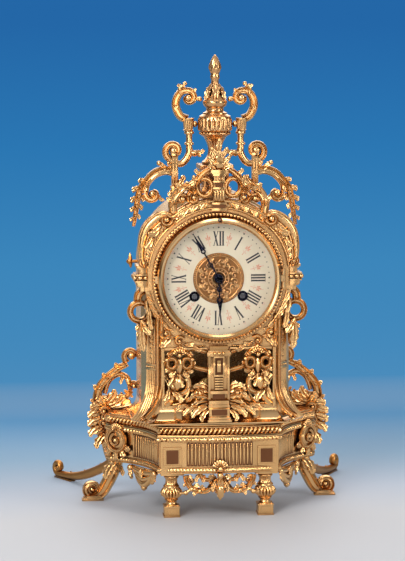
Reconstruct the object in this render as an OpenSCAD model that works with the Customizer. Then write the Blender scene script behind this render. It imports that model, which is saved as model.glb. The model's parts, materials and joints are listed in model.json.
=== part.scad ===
// Gilt mantel clock with an openwork rococo case, a round striking movement and an urn on top.
// Millimetres. +Z is up, +X is to the right of someone facing the dial, and -Y is towards them.
// The origin lies on the shelf, under the middle of the clock's width and depth.
// Depths named *_d are counted backwards from the front plane of the bezel.

/* [Overall] */
// Height of the dial's centre above the shelf
dial_z = 198; // [192:1:212]
// Depth from the apron's front to the tips of the rear feet
total_depth = 188; // [180:1:200]
// How far the apron's pendant stands in front of the bezel
apron_proud = 12; // [10:0.5:16]
// Gap left between castings that are screwed together
seat_gap = 0.15; // [0.1:0.05:0.25]

/* [Base] */
// Height of the front feet up to the base block
foot_h = 37.4; // [34:0.2:42]
// Distance of each front foot from the middle
foot_x = 39.1; // [37:0.1:42]
// Width of a front foot's square block
foot_w = 13.6; // [12:0.2:15]
// Width of the base block over a front foot
block_w = 19; // [17:0.5:21]
// Height of the base carcass
base_h = 31; // [28:0.5:34]
// Wall of the base casting
base_wall = 3; // [2.5:0.1:3.5]
// Half width of the bowed middle of the base
bow_w = 49.6; // [48:0.2:53]
// How far the middle of the bow stands in front of its ends
bow_rise = 5; // [3:0.5:6]
// Half width of the base behind its corners
base_half_w = 88; // [85:0.5:92]
// Depth of the corners where the base is widest
corner_d = 60; // [56:1:66]
// Depth of the back of the base
base_back_d = 104; // [98:1:112]
// Height of the moulded cornice on the base
cornice_h = 9.5; // [8.5:0.5:11]
// Height of the hollow skirt between cornice and case
skirt_h = 13; // [12:0.5:15]
// How far the skirt flares out at its foot
skirt_flare = 9; // [7:0.5:10]

/* [Case] */
// Radius of the hood's arch, which is half the width of the case
hood_r = 62; // [61.5:0.5:63.5]
// How far the arch's centre stands over the dial's centre
hood_rise = 8; // [7:0.5:9]
// Half width of the flat front under the dial
front_w = 49; // [47:0.5:51]
// Radius of the front panel round the dial
panel_r = 61; // [59:0.5:63]
// Thickness of the front panel
panel_t = 4; // [3.5:0.1:5]
// Depth of the front panel's face
panel_d = 8; // [8:0.1:8.6]
// Depth at which the rounded front edge of the case ends
round_d = 31; // [28:0.5:34]
// Depth of the case at its back
case_back_d = 78; // [77:0.5:84]
// Wall of the case sheet
case_wall = 2.5; // [2:0.1:3]
// Thickness of the back plate of the case
back_t = 2; // [1.5:0.1:2.5]
// Half width of each dark opening beside the pilaster, from the middle
opening_w = 45; // [43:0.5:46]
// Half width of the bar between the openings
pilaster_w = 9; // [8:0.5:10]
// Height of the openings above the skirt
opening_h = 46; // [42:1:48]

/* [Dial and bezel] */
// Outer radius of the bezel
bezel_r = 51; // [50:0.2:52]
// Radius of the dial that the bezel leaves open
sight_r = 45.7; // [45:0.1:46.4]
// Outer radius of the ring of beads
bead_ring_r = 55; // [54.4:0.2:56]
// Radius of the gilt centre of the dial
dial_centre_r = 21; // [20:0.2:22.5]
// Thickness of the bezel glass
glass_t = 1.4; // [1.2:0.1:1.6]
// Length of the minute hand
minute_hand_l = 42; // [39:0.5:43.5]
// Length of the hour hand
hour_hand_l = 29; // [26:0.5:31]
// Angle of the hour hand from twelve at rest, clockwise
hour_at = 177.5; // [170:0.5:190]
// Angle of the minute hand from twelve at rest, clockwise
minute_at = 330; // [300:1:350]

/* [Movement] */
// Radius of the movement's plates
plate_r = 43; // [42.6:0.1:44]
// Thickness of each plate
plate_t = 2.4; // [2:0.1:2.8]
// Depth of the front plate's face
plate_d = 20; // [19.5:0.1:20.6]
// Clear height between the plates
plate_gap = 22; // [21.6:0.1:23]
// Distance of each winding arbor to the side of the centre
wind_x = 19.85; // [19.7:0.05:20.3]
// Distance of each winding arbor below the centre
wind_drop = 14.8; // [14.4:0.1:15.2]
// Width across the flats of the winding squares
square_w = 3.6; // [3.2:0.1:4]
// Radius of the winding arbors
wind_arbor_r = 2.6; // [2.4:0.1:2.8]
// Radial clearance of what turns on an arbor
run = 0.06; // [0.04:0.01:0.09]
// Distance of the pallet arbor above the centre
pallet_up = 36; // [35.8:0.1:36.4]
// Length of the pendulum from its spring to the middle of its bob
pendulum_l = 139.8; // [136:0.2:142]
// Radius of the pendulum bob
bob_r = 15; // [13:0.5:17]
// Radius of the bell
bell_r = 29; // [27:0.5:30]
// Distance of the regulating arbor above the centre
regulator_up = 48.6; // [48.4:0.1:48.9]

/* [Urn] */
// Height of the urn's pedestal above the hood
pedestal_h = 22; // [20:0.5:25]
// Half width of the pedestal's top plate
pedestal_w = 14; // [13:0.5:15]
// Depth of the urn's axis
urn_d = 34; // [32:0.5:38]
// Radius of the urn's fluted body
urn_r = 14.3; // [13.5:0.1:15]
// Distance of each handle's socket from the urn's axis
socket_x = 22; // [21.6:0.1:23]

/* [Hidden] */
$fn = 96;

gilt = [0.86, 0.63, 0.25];
brass = [0.80, 0.64, 0.32];
steel = [0.45, 0.47, 0.50];
blued = [0.07, 0.08, 0.14];
enamel = [0.95, 0.92, 0.83];
bell_metal = [0.70, 0.66, 0.58];

dial_y = apron_proud - total_depth / 2;
base_z = foot_h;
cornice_z = base_z + base_h;
skirt_z = cornice_z + cornice_h;
case_z = skirt_z + skirt_h;
hood_top = dial_z + hood_rise + hood_r;
case_w = hood_r;                      // half width of the case under the hood
urn_h = 47.6;                         // height of the urn's body
hood_foot = 2.5;                      // height of the return flange under each end of the hood
hood_front_d = panel_d + panel_t;     // depth of the front edge of the case sheet
block_d = 2;                          // depth of the ends of the bow
jog = 6;                              // step back from the bow to the hollow sides
boss_x = 71;                          // where the corner boss starts
boss_d = 45;

/* ---------- shared shapes ---------- */

function bezier(a, b, c, n) =
  [for (i = [0:n]) let (t = i / n) (1 - t) * (1 - t) * a + 2 * t * (1 - t) * b + t * t * c];

// A smooth path through control points
function smooth(p, n) =
  concat([for (i = [0:len(p) - 2], j = [0:n - 1])
       let (a = p[max(i - 1, 0)], b = p[i], c = p[i + 1],
          d = p[min(i + 2, len(p) - 1)], t = j / n)
       0.5 * (2 * b + (c - a) * t + (2 * a - 5 * b + 4 * c - d) * t * t
           + (3 * b - a - 3 * c + d) * t * t * t)],
     [p[len(p) - 1]]);

// Points of a spiral round c from radius r0 to r1 and angle a0 to a1
function spiral(c, r0, r1, a0, a1, n) =
  [for (i = [0:n]) let (t = i / n, a = a0 + (a1 - a0) * t) c + (r0 + (r1 - r0) * t) * [cos(a), sin(a)]];

function on_circle(r, a) = r * [cos(a), sin(a)];

function edge_normal(a, b) = let (v = b - a) [v[1], -v[0]] / norm(v);

// Moves each edge of a closed outline outwards by g; the outline runs anticlockwise
function grow(p, g) =
  [for (i = [0:len(p) - 1])
    let (m = len(p), n1 = edge_normal(p[(i + m - 1) % m], p[i]), n2 = edge_normal(p[i], p[(i + 1) % m]))
    p[i] + g * (n1 + n2) / (1 + n1 * n2)];

// The whole outline from its right half, which runs from front to back
function both_halves(h) =
  concat(h, [for (i = [len(h) - 1:-1:0]) if (h[i][0] > 0) [-h[i][0], h[i][1]]]);

// Swept bar that follows a path of [x, z]; widths lie in the plane and thicknesses across it
module bar(path, w0, w1, t0, t1, swell = 0) {
  last = len(path) - 1;
  sides = 4;
  points = [for (i = [0:last])
        let (f = i / last,
           v = path[min(i + 1, last)] - path[max(i - 1, 0)],
           n = [-v[1], v[0]] / norm(v),
           w = (w0 + (w1 - w0) * f + swell * sin(180 * f)) / 2,
           t = (t0 + (t1 - t0) * f) / 2)
        for (k = [0:sides - 1])
          let (a = 360 * k / sides)
          [path[i][0] + n[0] * w * cos(a), t * sin(a), path[i][1] + n[1] * w * cos(a)]];
  faces = concat([[for (k = [sides - 1:-1:0]) k]],
         [for (i = [0:last - 1], k = [0:sides - 1])
           [i * sides + k, i * sides + (k + 1) % sides,
            (i + 1) * sides + (k + 1) % sides, (i + 1) * sides + k]],
         [[for (k = [0:sides - 1]) last * sides + k]]);
  polyhedron(points, faces);
}

// Fat bud or leaf lobe between two points of the [x, z] plane
module bud(p, rp, q, rq) {
  hull() {
    translate([p[0], 0, p[1]]) sphere(rp, $fn = 5);
    translate([q[0], 0, q[1]]) sphere(rq, $fn = 4);
  }
}

// A row of leaf lobes along a path, each leaning back along it by lean degrees
module lobes(path, every, size, lean, side) {
  for (i = [every:every:len(path) - 2]) {
    v = path[i + 1] - path[i - 1];
    u = v / norm(v);
    n = [-u[1], u[0]] * side;
    tip = path[i] + (n * cos(lean) - u * sin(lean)) * size;
    bud(path[i], size * 0.34, tip, size * 0.2);
  }
}

// Puts a child made in the [x, z] plane at a depth
module at_depth(d) {
  translate([0, dial_y + d, 0]) children();
}

// Puts a child on the dial's axis: its x is right, its y is up and its z comes forward
module on_axis(d) {
  translate([0, dial_y + d, dial_z]) rotate([90, 0, 0]) children();
}

// Gives a flat shape, drawn as seen from the front, its place between two depths
module slab(front, back) {
  on_axis(back) linear_extrude(back - front) children();
}

// A body turned about the dial's axis from points of [radius, depth]
module turned(points, at = [0, 0]) {
  on_axis(0) translate([at[0], at[1], 0])
    rotate_extrude() polygon([for (p = points) [p[0], -p[1]]]);
}

// A rod along the dial's axis between two depths
module rod(at, r, front, back) {
  on_axis(back) translate([at[0], at[1], 0]) cylinder(h = back - front, r = r);
}

module plan_slab(outline, z0, h) {
  translate([0, dial_y, z0]) linear_extrude(h) polygon(outline);
}

// A right-hand shape and its mirror image
module pair() {
  children();
  mirror([1, 0, 0]) children();
}

/* ---------- base ---------- */

base_half = concat(bezier([0, block_d - bow_rise], [bow_w * 0.55, block_d - bow_rise], [bow_w, block_d], 7),
         bezier([bow_w, block_d + jog], [(bow_w + boss_x) / 2 - 4, (block_d + boss_d) / 2 + 9],
             [boss_x, boss_d], 6),
         [[base_half_w - 2, corner_d - 2], [base_half_w, corner_d + 2],
          [base_half_w, base_back_d - 4], [base_half_w - 4, base_back_d]]);
base_outline = both_halves(base_half);
pendulum_slot = [80, 44];             // width and depth of the hole under the pendulum
slot_d = 30;                          // depth at which that hole starts

module base_plinth() color(gilt) {
  // Hollow carcass with a fluted frieze between two flat bands
  difference() {
    union() {
      plan_slab(grow(base_outline, 1), base_z, 5);
      plan_slab(base_outline, base_z + 5, base_h - 9);
      plan_slab(grow(base_outline, 1), cornice_z - 4, 4);
      for (side = [-1, 1])
        translate([side * foot_x - block_w / 2, dial_y + block_d - 3, base_z])
          cube([block_w, block_w, base_h - 4]);
    }
    difference() {
      plan_slab(grow(base_outline, -base_wall), base_z - 1, base_h + 2);
      for (side = [-1, 1])
        translate([side * foot_x - block_w / 2 - 1, dial_y, base_z - 2])
          cube([block_w + 2, block_w + 1, base_h + 4]);
    }
    // Sunk square panel on each block
    for (side = [-1, 1])
      translate([side * foot_x - block_w * 0.33, dial_y + block_d - 4, base_z + 7])
        cube([block_w * 0.66, 1 + 1.2, 14]);
  }
}

module base_cornice() color(gilt) {
  difference() {
    union() {
      plan_slab(grow(base_outline, 1.6), cornice_z, 1.5);
      plan_slab(grow(base_outline, 2.4), cornice_z + 1.5, cornice_h - 4);
      plan_slab(grow(base_outline, 0.6), cornice_z + cornice_h - 2.5, 1.2);
      plan_slab(grow(base_outline, -1.5), cornice_z + cornice_h - 1.3, 1.3);
    }
    translate([-pendulum_slot[0] / 2, dial_y + slot_d, cornice_z - 1])
      cube([pendulum_slot[0], pendulum_slot[1], cornice_h + 2]);
  }
}

// Outline of the case in plan, with the front panel in front of its canted corners
case_half = [[0, panel_d], [front_w, panel_d], [front_w, hood_front_d], [case_w - 4, hood_front_d + 11],
      [case_w, round_d], [case_w, case_back_d + back_t]];
case_outline = both_halves(case_half);

// Steps that follow the case's outline and flare towards its foot in a hollow curve
module flared(z0, h, flare, inset) {
  steps = 6;
  for (k = [0:steps - 1]) {
    a = 90 * k / steps;
    plan_slab(grow(case_outline, flare * (1 - sin(a)) - inset), z0, h * (1 - cos(a + 90 / steps)));
  }
}

module case_skirt() color(gilt) {
  difference() {
    flared(skirt_z, skirt_h, skirt_flare, 0);
    translate([-front_w + case_wall + 1, dial_y + hood_front_d + 2, skirt_z - 1])
      cube([2 * (front_w - case_wall - 1), case_back_d - hood_front_d - 4, skirt_h + 2]);
  }
}

/* ---------- feet and aprons ---------- */

foot_d = block_d - 3 + block_w / 2;   // depth of a front foot's axis

module front_feet() color(gilt) {
  plinth_h = 9.7;
  for (side = [-1, 1]) translate([side * foot_x, dial_y + foot_d, 0]) {
    difference() {
      translate([-foot_w / 2, -foot_w / 2, 0]) cube([foot_w, foot_w, plinth_h]);
      for (turn = [0:90:270]) rotate([0, 0, turn])
        translate([-foot_w / 2 + 2, -foot_w / 2 - 1, 2.2]) cube([foot_w - 4, 1.6, plinth_h - 4]);
    }
    rotate_extrude()
      polygon([[0, plinth_h], [foot_w * 0.46, plinth_h], [foot_w * 0.33, plinth_h + 3],
          [foot_w * 0.4, plinth_h + 4.6], [foot_w * 0.66, plinth_h + 7.2],
          [foot_w * 0.69, plinth_h + 10.3], [foot_w * 0.56, plinth_h + 15],
          [foot_w * 0.44, foot_h - 9], [foot_w * 0.36, foot_h - 5.5],
          [foot_w * 0.37, foot_h - 3], [foot_w * 0.46, foot_h - 1.6], [0, foot_h - 1.6]]);
    translate([-block_w / 2, -block_w / 2, foot_h - 1.6]) cube([block_w, block_w, 1.6]);
  }
}

// Cabriole leg drawn from its top, at [0, h], to a volute on a flat pad at [reach, 0]
module scroll_leg(h, reach, volute_r, w, t) {
  c = [reach, volute_r + 1.5];
  leg = smooth(concat([[0, h], [3.5, h * 0.72], [reach * 0.42, h * 0.36]],
            spiral(c, volute_r, volute_r * 0.92, -118, -60, 2)), 3);
  curl = spiral(c, volute_r * 0.95, volute_r * 0.2, -60, 350, 11);
  bar(leg, w, w * 0.62, t, t, 1);
  bar(curl, w * 0.62, w * 0.4, t, t * 1.1);
  translate([c[0], 0, c[1]]) rotate([90, 0, 0]) cylinder(h = t * 1.2, r = volute_r * 0.3,
      center = true, $fn = 14);
  translate([reach - volute_r - 2, -t / 2, 0]) cube([volute_r * 2 + 2, t, 3]);
  for (i = [0:2:4]) bud([2.5 + i * 2.2, h * (0.86 - i * 0.13)], w * 0.3, [5.5 + i * 2.4,
      h * (0.92 - i * 0.14)], w * 0.14);
  for (i = [0:2:2]) bud([-1 + i * 1.6, h * (0.84 - i * 0.13)], w * 0.28, [-2.5 + i * 1.2,
      h * (0.72 - i * 0.13)], w * 0.14);
}

module corner_feet() color(gilt) {
  top = base_z - seat_gap;
  pair()
    translate([base_half_w - 9, dial_y + corner_d + 14, 0])
      difference() {
        scroll_leg(top + 3, 22, 8.2, 8, 8);
        translate([-40, -40, top]) cube([80, 80, 20]);
        translate([-40, -40, -20]) cube([80, 80, 20]);
      }
}

rear_foot_at = [base_half_w - 7, base_back_d - 8];
rear_splay = 58.7;
rear_run = total_depth - apron_proud - rear_foot_at[1];
rear_reach = rear_run / sin(rear_splay) - 7.7;

module rear_feet() color(gilt) {
  top = base_z - seat_gap;
  pair()
    intersection() {
      translate([rear_foot_at[0], dial_y + rear_foot_at[1], 0]) rotate([0, 0, rear_splay])
        union() {
          c = [rear_reach, 9.5];
          leg = smooth([[0, top + 3], [8, top * 0.72], [rear_reach * 0.45, top * 0.3],
                 [rear_reach * 0.78, 3.6], [rear_reach, 3.4]], 4);
          bar(leg, 9, 6.4, 6, 6, 1);
          bar(spiral(c, 6.1, 1.6, -90, 300, 11), 6.2, 3.4, 6, 6.4);
          translate([rear_reach * 0.72, -3, 0]) cube([rear_reach * 0.32, 6, 3]);
          for (i = [0:2:6])
            bud([3 + i * 4, top * (0.95 - i * 0.09)], 2.4, [6 + i * 4, top * (0.99 - i * 0.1)], 1);
        }
      translate([0, -total_depth / 2, 0]) cube([300, total_depth, top]);
    }
}

module front_apron() color(gilt) {
  // Openwork hung under the bow, between the front feet
  z = base_z - seat_gap;
  d = block_d - bow_rise + 1.5;
  inner = foot_x - block_w / 2 - seat_gap;
  difference() {
    union() {
      at_depth(d) {
        pair() {
          arm = smooth([[inner - 1, z], [inner - 2.5, z - 6], [inner - 6, z - 11.5],
                 [inner - 12, z - 14.5], [inner - 19, z - 15.5], [6, z - 10], [3, z - 3]], 2);
          bar(arm, 4.4, 3.4, 4, 4);
          lobes(arm, 3, 5, 40, -1);
          bar(smooth([[inner - 14, z], [inner - 17, z - 4], [inner - 21, z - 4.5], [6, z - 1]], 2),
              4, 3, 4, 4);
          bar(smooth([[inner - 7, z - 12.5], [inner - 1, z - 16], [inner + 4, z - 16.5]], 2), 3, 2.4, 3, 3);
          bud([inner - 7, z], 3.4, [inner - 9, z - 4], 1.8);
        }
        bud([0, z - 1], 6.5, [0, z - 7], 3.4);
        for (side = [-1, 1]) bud([0, z - 12], 4, [side * 7.5, z - 13.5], 2);
      }
      // Drop with its leafy cup
      at_depth(4.7 - apron_proud) {
        bud([0, z + 12], 5, [0, z + 1], 3.4);
        bud([0, z - 4], 3.2, [0, z - 12], 5.6);
        bud([0, z - 12], 5.6, [0, z - 20.5], 2.2);
      }
    }
    // Back of the openwork, and the face of the base behind the drop's top
    translate([-60, dial_y + d + 2, -1]) cube([120, 60, 80]);
    translate([-60, dial_y + block_d - bow_rise - 1 - seat_gap, z]) cube([120, 60, 80]);
    translate([-60, dial_y - apron_proud - 60, -1]) cube([120, 60, 80]);
  }
}

module side_aprons() color(gilt) {
  // A swag under each hollow side of the base
  a = [foot_x + block_w / 2 + 2, block_d + jog + 4];
  b = [boss_x - 1, boss_d - 2];
  mid = (a + b) / 2;
  span = norm(b - a);
  z = base_z - seat_gap;
  pair()
    translate([mid[0], dial_y + mid[1], 0]) rotate([0, 0, atan2(b[1] - a[1], b[0] - a[0])])
      difference() {
        union() {
          for (drop = [10, 16]) {
            half = span / 2 * (1.15 - drop * 0.017);
            bar(smooth([[-half, z - 1.5], [-half * 0.6, z - drop * 0.7], [0, z - drop],
                  [half * 0.6, z - drop * 0.7], [half, z - 1.5]], 2), 5, 5, 5, 5, 2);
          }
          for (s = [-1, 1], k = [0, 1])
            bud([s * span / 2 * (0.9 - k * 0.25), z], 2.6, [s * span / 2 * (0.7 - k * 0.25),
                z - 7 - 2 * k], 1.6);
          bud([0, z - 2], 4.6, [0, z - 9], 2);
          bud([0, z - 16], 3, [0, z - 19.5], 1.5);
        }
        translate([-60, -60, z]) cube([120, 120, 20]);
      }
}

/* ---------- brackets beside the case ---------- */

bracket_d = case_back_d + 4;          // depth of the openwork brackets' plane

module side_bracket() {
  z = cornice_z + cornice_h;
  x0 = case_w + skirt_flare;
  at_depth(bracket_d) {
    // Long S-scroll that rises from the corner to a curl beside the case
    stem = smooth([[x0 + 21, z - 3], [x0 + 25, z + 6], [x0 + 23, z + 17], [x0 + 18, z + 25],
           [x0 + 8, z + 33.5], [x0 - 2, z + 39]], 2);
    bar(stem, 5.2, 3.6, 6, 4.4);
    bar(spiral([x0 - 5, z + 45.5], 7.2, 1.8, -58, 250, 11), 3.6, 3.2, 4.4, 4.6);
    bar(smooth([[x0 + 18, z + 14], [x0 + 14, z + 25], [x0 + 6, z + 30], [x0 - 1.5, z + 26.5],
          [x0 - 3.5, z + 20]], 2), 3.6, 4.2, 4.4, 4.4);
    lobes(stem, 2, 6.5, 10, -1);
    // Low scroll that curls up beside the skirt
    bar(smooth([[x0 + 19, z + 1], [x0 + 10, z + 7], [x0, z + 10], [x0 - 5, z + 15]], 2), 5, 3.4, 5, 4);
    bar(spiral([x0 - 7.2, z + 19.2], 4.7, 1.4, -62, 215, 8), 3.4, 2.8, 4, 4);
    // Leafy mass over the corner
    bud([x0 + 17, z - 5], 7.5, [x0 + 20, z - 18], 6);
    bud([x0 + 24, z + 2], 5, [x0 + 31, z - 4], 2);
    bud([x0 + 24, z - 8], 5, [x0 + 32, z - 12], 2.6);
    bud([x0 + 24, z - 17], 5, [x0 + 31, z - 23], 2.6);
    bud([x0 + 20, z - 24], 5, [x0 + 25, z - 33], 2.6);
    bar(smooth([[x0 + 18, z - 2], [x0 + 21, z - 16], [x0 + 19, z - 30], [x0 + 14, z - 37]], 2), 9, 6, 7, 6);
  }
  // Shell boss on the canted corner of the base
  translate([(boss_x + base_half_w) / 2 + 1.2, dial_y + (boss_d + corner_d) / 2 - 1, base_z + base_h / 2 + 3])
    rotate([0, 0, atan2(corner_d - boss_d, base_half_w - boss_x)]) {
      translate([0, -1.4, 0]) rotate([90, 0, 0]) cylinder(h = 3, r = 9.5, center = true, $fn = 26);
      for (k = [0:8]) let (a = 200 * k / 8 - 10)
        bud([4 * cos(a), 4 * sin(a) - 1], 2.6, [11 * cos(a), 11 * sin(a) - 1], 2.2);
      bud([0, -8], 3.4, [0, -15], 1.8);
    }
}

// A bracket less everything that it is screwed to
module fitted_bracket() {
  difference() {
    side_bracket();
    plan_slab(grow(base_outline, 1 + seat_gap), base_z - 20, base_h + 20);
    plan_slab(grow(base_outline, 2.4 + seat_gap), cornice_z, cornice_h - 2.5 + seat_gap);
    plan_slab(grow(base_outline, 0.6 + seat_gap), cornice_z + 1, cornice_h - 1 + seat_gap);
    flared(skirt_z, skirt_h + 0.1, skirt_flare, -seat_gap);
    translate([-case_w - seat_gap, dial_y, case_z - 1])
      cube([2 * (case_w + seat_gap), case_back_d + back_t, dial_z - case_z]);
  }
}

module side_bracket_right() color(gilt) fitted_bracket();

module side_bracket_left() color(gilt) mirror([1, 0, 0]) fitted_bracket();

/* ---------- case ---------- */

opening_z = case_z + 1.5;

module front_shape() {
  // Panel round the dial and down to the skirt, drawn about the dial's centre
  union() {
    circle(panel_r);
    translate([-front_w, case_z - dial_z]) square([2 * front_w, dial_z - case_z]);
  }
}

// Raised moulding round both openings, with room left about it
module opening_frame(room) {
  w = 2.2;
  slab(panel_d - w - room, panel_d) difference() {
    translate([-opening_w - w - room, opening_z - dial_z - 1]) square([2 * (opening_w + w + room),
        opening_h + 1 + w]);
    translate([-opening_w + room, opening_z - dial_z - 2]) square([2 * (opening_w - room),
        opening_h + 4 + w]);
  }
}

module front_panel() color(gilt) {
  difference() {
    union() {
      slab(panel_d, panel_d + panel_t) front_shape();
      opening_frame(0);
    }
    slab(panel_d - 1, panel_d + panel_t + 1) circle(bezel_r - 1);
    slab(panel_d - 5, panel_d + panel_t + 1)
      for (side = [-1, 1]) difference() {
        translate([side > 0 ? pilaster_w : -opening_w, opening_z - dial_z])
          square([opening_w - pilaster_w, opening_h]);
        circle(bead_ring_r + 1.5);
      }
    slab(panel_d - 5, panel_d) circle(bead_ring_r + seat_gap);
  }
}

module front_ornament() color(gilt) {
  // Pilaster, shell cartouches and leaves over the openings, all in front of the panel
  z = case_z;
  t = 4;
  back = panel_d;
  top = dial_z - bead_ring_r - 1.5;
  difference() {
    union() {
      // Pilaster with its cap, panel and steps
      at_depth(back - t) {
        translate([-pilaster_w + 1, 0, z]) cube([2 * pilaster_w - 2, t, top - z + 1]);
        translate([-pilaster_w - 1, -1, top - 7]) cube([2 * pilaster_w + 2, t + 1, 4]);
        translate([-pilaster_w, -2, z]) cube([2 * pilaster_w, t + 2, 6]);
        translate([-pilaster_w + 1.5, -1.4, z + 12]) cube([2 * pilaster_w - 3, t + 1, 2.5]);
      }
      // Sunk-and-raised panel and ladder of flutes
      at_depth(back - t - 1) {
        translate([-3.4, 0, z + 27]) cube([6.8, 2, 15]);
        for (k = [0:4]) translate([-3.4, 0, z + 15.5 + 2.1 * k]) cube([6.8, 2, 1.1]);
      }
      // Steps of the pilaster's foot, which come forward over the skirt
      translate([-pilaster_w - 1, dial_y + block_d - 4.5, skirt_z + 2]) cube([2 * pilaster_w + 2, 10, 4]);
      translate([-pilaster_w, dial_y + block_d - 2, skirt_z + 6]) cube([2 * pilaster_w, 9, skirt_h - 6]);
      pair() at_depth(back - t / 2) {
        // Oval shell cartouche pierced by two eyes
        difference() {
          translate([opening_w - 12.5, 0, z + 37.5]) rotate([90, 0, 0])
            cylinder(h = t, r = 12, center = true, $fn = 24);
          for (eye = [-6.4, 6.4]) translate([opening_w - 12.5 + eye, 0, z + 37.5])
            rotate([90, 0, 0]) cylinder(h = t + 2, r = 2.2, center = true, $fn = 12);
        }
        for (a = [20:50:170])
          bud([opening_w - 12.5 + 8 * cos(a), z + 37.5 + 8 * sin(a)], 2.2,
            [opening_w - 12.5 + 13 * cos(a), z + 37.5 + 12 * sin(a)], 1.8);
        // Arms that tie the cartouche to the pilaster and to the foot
        bar(smooth([[opening_w - 23, z + 35], [opening_w - 28, z + 33], [pilaster_w, z + 31]], 2),
            4, 4, t, t);
        bar(smooth([[opening_w - 15, z + 27], [opening_w - 20, z + 22], [opening_w - 19, z + 14],
              [opening_w - 12, z + 12], [opening_w - 6, z + 17]], 2), 5, 3.4, t, t, 1);
        bar(smooth([[opening_w - 2, z + 2], [opening_w - 9, z + 10], [opening_w - 7, z + 22],
              [opening_w - 2, z + 26]], 2), 6, 4, t, t, 1);
        // Acanthus that sprawls from the pilaster's foot
        bar(smooth([[pilaster_w - 1, z + 16], [pilaster_w + 8, z + 15], [pilaster_w + 15, z + 8],
              [opening_w - 4, z + 1.5]], 4), 8, 4, t, t, 3);
        bar(smooth([[pilaster_w - 1, z + 4], [pilaster_w + 7, z + 8], [pilaster_w + 15, z + 2.6],
              [opening_w - 8, z + 3]], 4), 7, 3, t, t, 2);
      }
    }
    // Face and moulding of the panel, sight of the bezel and slope of the skirt stay clear
    opening_frame(seat_gap);
    translate([-80, dial_y + back, case_z]) cube([160, 40, 100]);
    slab(-5, back + 1) circle(bead_ring_r + seat_gap);
    flared(skirt_z, skirt_h + 0.01, skirt_flare, -seat_gap);
  }
}

// Outline of the hood from the front, round the dial's centre, as far down as foot under it
module hood_shape(inset, foot) {
  translate([0, hood_rise]) circle(hood_r - inset);
  translate([inset - hood_r, -foot]) square([2 * (hood_r - inset), foot + hood_rise]);
}

// Solid form of the hood with its rounded front edge, drawn in by inset all round
module hood_form(inset, foot, front, back) {
  reach = hood_r + hood_rise - panel_r + 1.5;
  intersection() {
    slab(front, back) hood_shape(inset, foot);
    on_axis(0) rotate_extrude()
      polygon(concat([[0, -front], [panel_r - inset, -front], [panel_r - inset, -hood_front_d]],
              [for (a = [15:15:90]) [panel_r - inset + reach * sin(a),
                  (round_d - hood_front_d) * cos(a) - round_d - inset * 0.6]],
              [[2 * hood_r, -round_d - inset * 0.6], [2 * hood_r, -back], [0, -back]]));
  }
}

// Plan of the canted case under the hood, as half an outline drawn in by inset and past its ends by over
function canted(inset, over = 0) = [[0, hood_front_d - over], [front_w - inset, hood_front_d - over],
    [case_w - 4 - inset * 0.9, hood_front_d + 11 + inset * 0.64], [case_w - inset, round_d + inset * 0.24],
    [case_w - inset, case_back_d + over]];

module case_hood() color(gilt) difference() {
  // Arched sheet with a rounded front edge, and the canted walls under it
  union() {
    hood_form(0, hood_foot, hood_front_d, case_back_d);
    translate([0, dial_y, case_z]) linear_extrude(dial_z - hood_foot - case_z) polygon(both_halves(canted(0)));
  }
  hood_form(case_wall, 0, hood_front_d - 1, case_back_d + 1);
  translate([0, dial_y, case_z - 1]) linear_extrude(dial_z - case_z + 1.01)
    polygon(both_halves(canted(case_wall, 1)));
  // Clear of the bezel's seat
  slab(hood_front_d - 1, hood_front_d + 2.2) circle(bezel_r);
}

rear_open_r = 46;

module case_back() color(gilt) {
  slab(case_back_d, case_back_d + back_t) difference() {
    hood_shape(0, dial_z - case_z);
    circle(rear_open_r);
  }
}

shoulder_top = on_circle(panel_r + 4, 45.6);

module shoulder() {
  // Big C-scroll over the hood's front edge, the beaded band and the loop beside the dial
  arc_r = panel_r + 3;
  t = 5.5;
  difference() {
    union() {
      on_axis(panel_d - t / 2) rotate([-90, 0, 0]) {
        outer = [for (a = [8:8:40]) on_circle(arc_r, a)];
        bar(outer, 7, 8.5, t, t);
        bar(spiral(shoulder_top, 5.4, 1.6, -110, 250, 10), 4.4, 3, t, t * 1.1);
        bar(spiral(on_circle(arc_r + 0.8, 4), 5.4, 1.6, 75, -250, 10), 4, 3, t, t * 1.1);
        lobes(outer, 1, 6.5, -20, 1);
        for (a = [14:7:35]) bud(on_circle(arc_r, a), 3, on_circle(bead_ring_r + 3, a - 3), 2);
      }
      // Beaded band, then the loop and the drop under it
      at_depth(panel_d + 6) {
        translate([panel_r - 3, -8, dial_z - 10]) cube([9.5, 18, 4]);
        translate([panel_r - 3, -8, dial_z - 4]) cube([9.5, 18, 11]);
        for (k = [0:2]) bud([panel_r + 7.6, dial_z - 2 + 3.5 * k], 2, [panel_r + 9,
            dial_z - 2 + 3.5 * k], 1.8);
        bar(spiral([panel_r + 3.5, dial_z - 28], 8, 8, 90, -255, 10), 4, 4, 5, 5);
        bar(smooth([[panel_r + 2, dial_z - 37], [panel_r + 1, dial_z - 48], [panel_r - 1,
            dial_z - 58]], 2), 7, 3, 5, 4);
        bar(smooth([[panel_r + 2, dial_z - 8], [panel_r + 3, dial_z - 14], [panel_r + 3,
            dial_z - 20]], 2), 8, 5, 6, 5);
      }
    }
    // The panel, the bead ring and the case walls behind it
    slab(panel_d, panel_d + panel_t + 0.1) front_shape();
    slab(-10, panel_d + 1) circle(bead_ring_r + 0.8);
    // Sheet of the hood and the canted wall
    hood_form(-seat_gap, hood_foot + seat_gap, hood_front_d - 1, case_back_d);
    translate([0, dial_y, case_z]) linear_extrude(dial_z - case_z) polygon(grow(both_halves(canted(0)), seat_gap));
  }
}

module shoulder_right() color(gilt) shoulder();

module shoulder_left() color(gilt) mirror([1, 0, 0]) shoulder();

/* ---------- cresting and urn ---------- */

urn_z = hood_top + pedestal_h;

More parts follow.
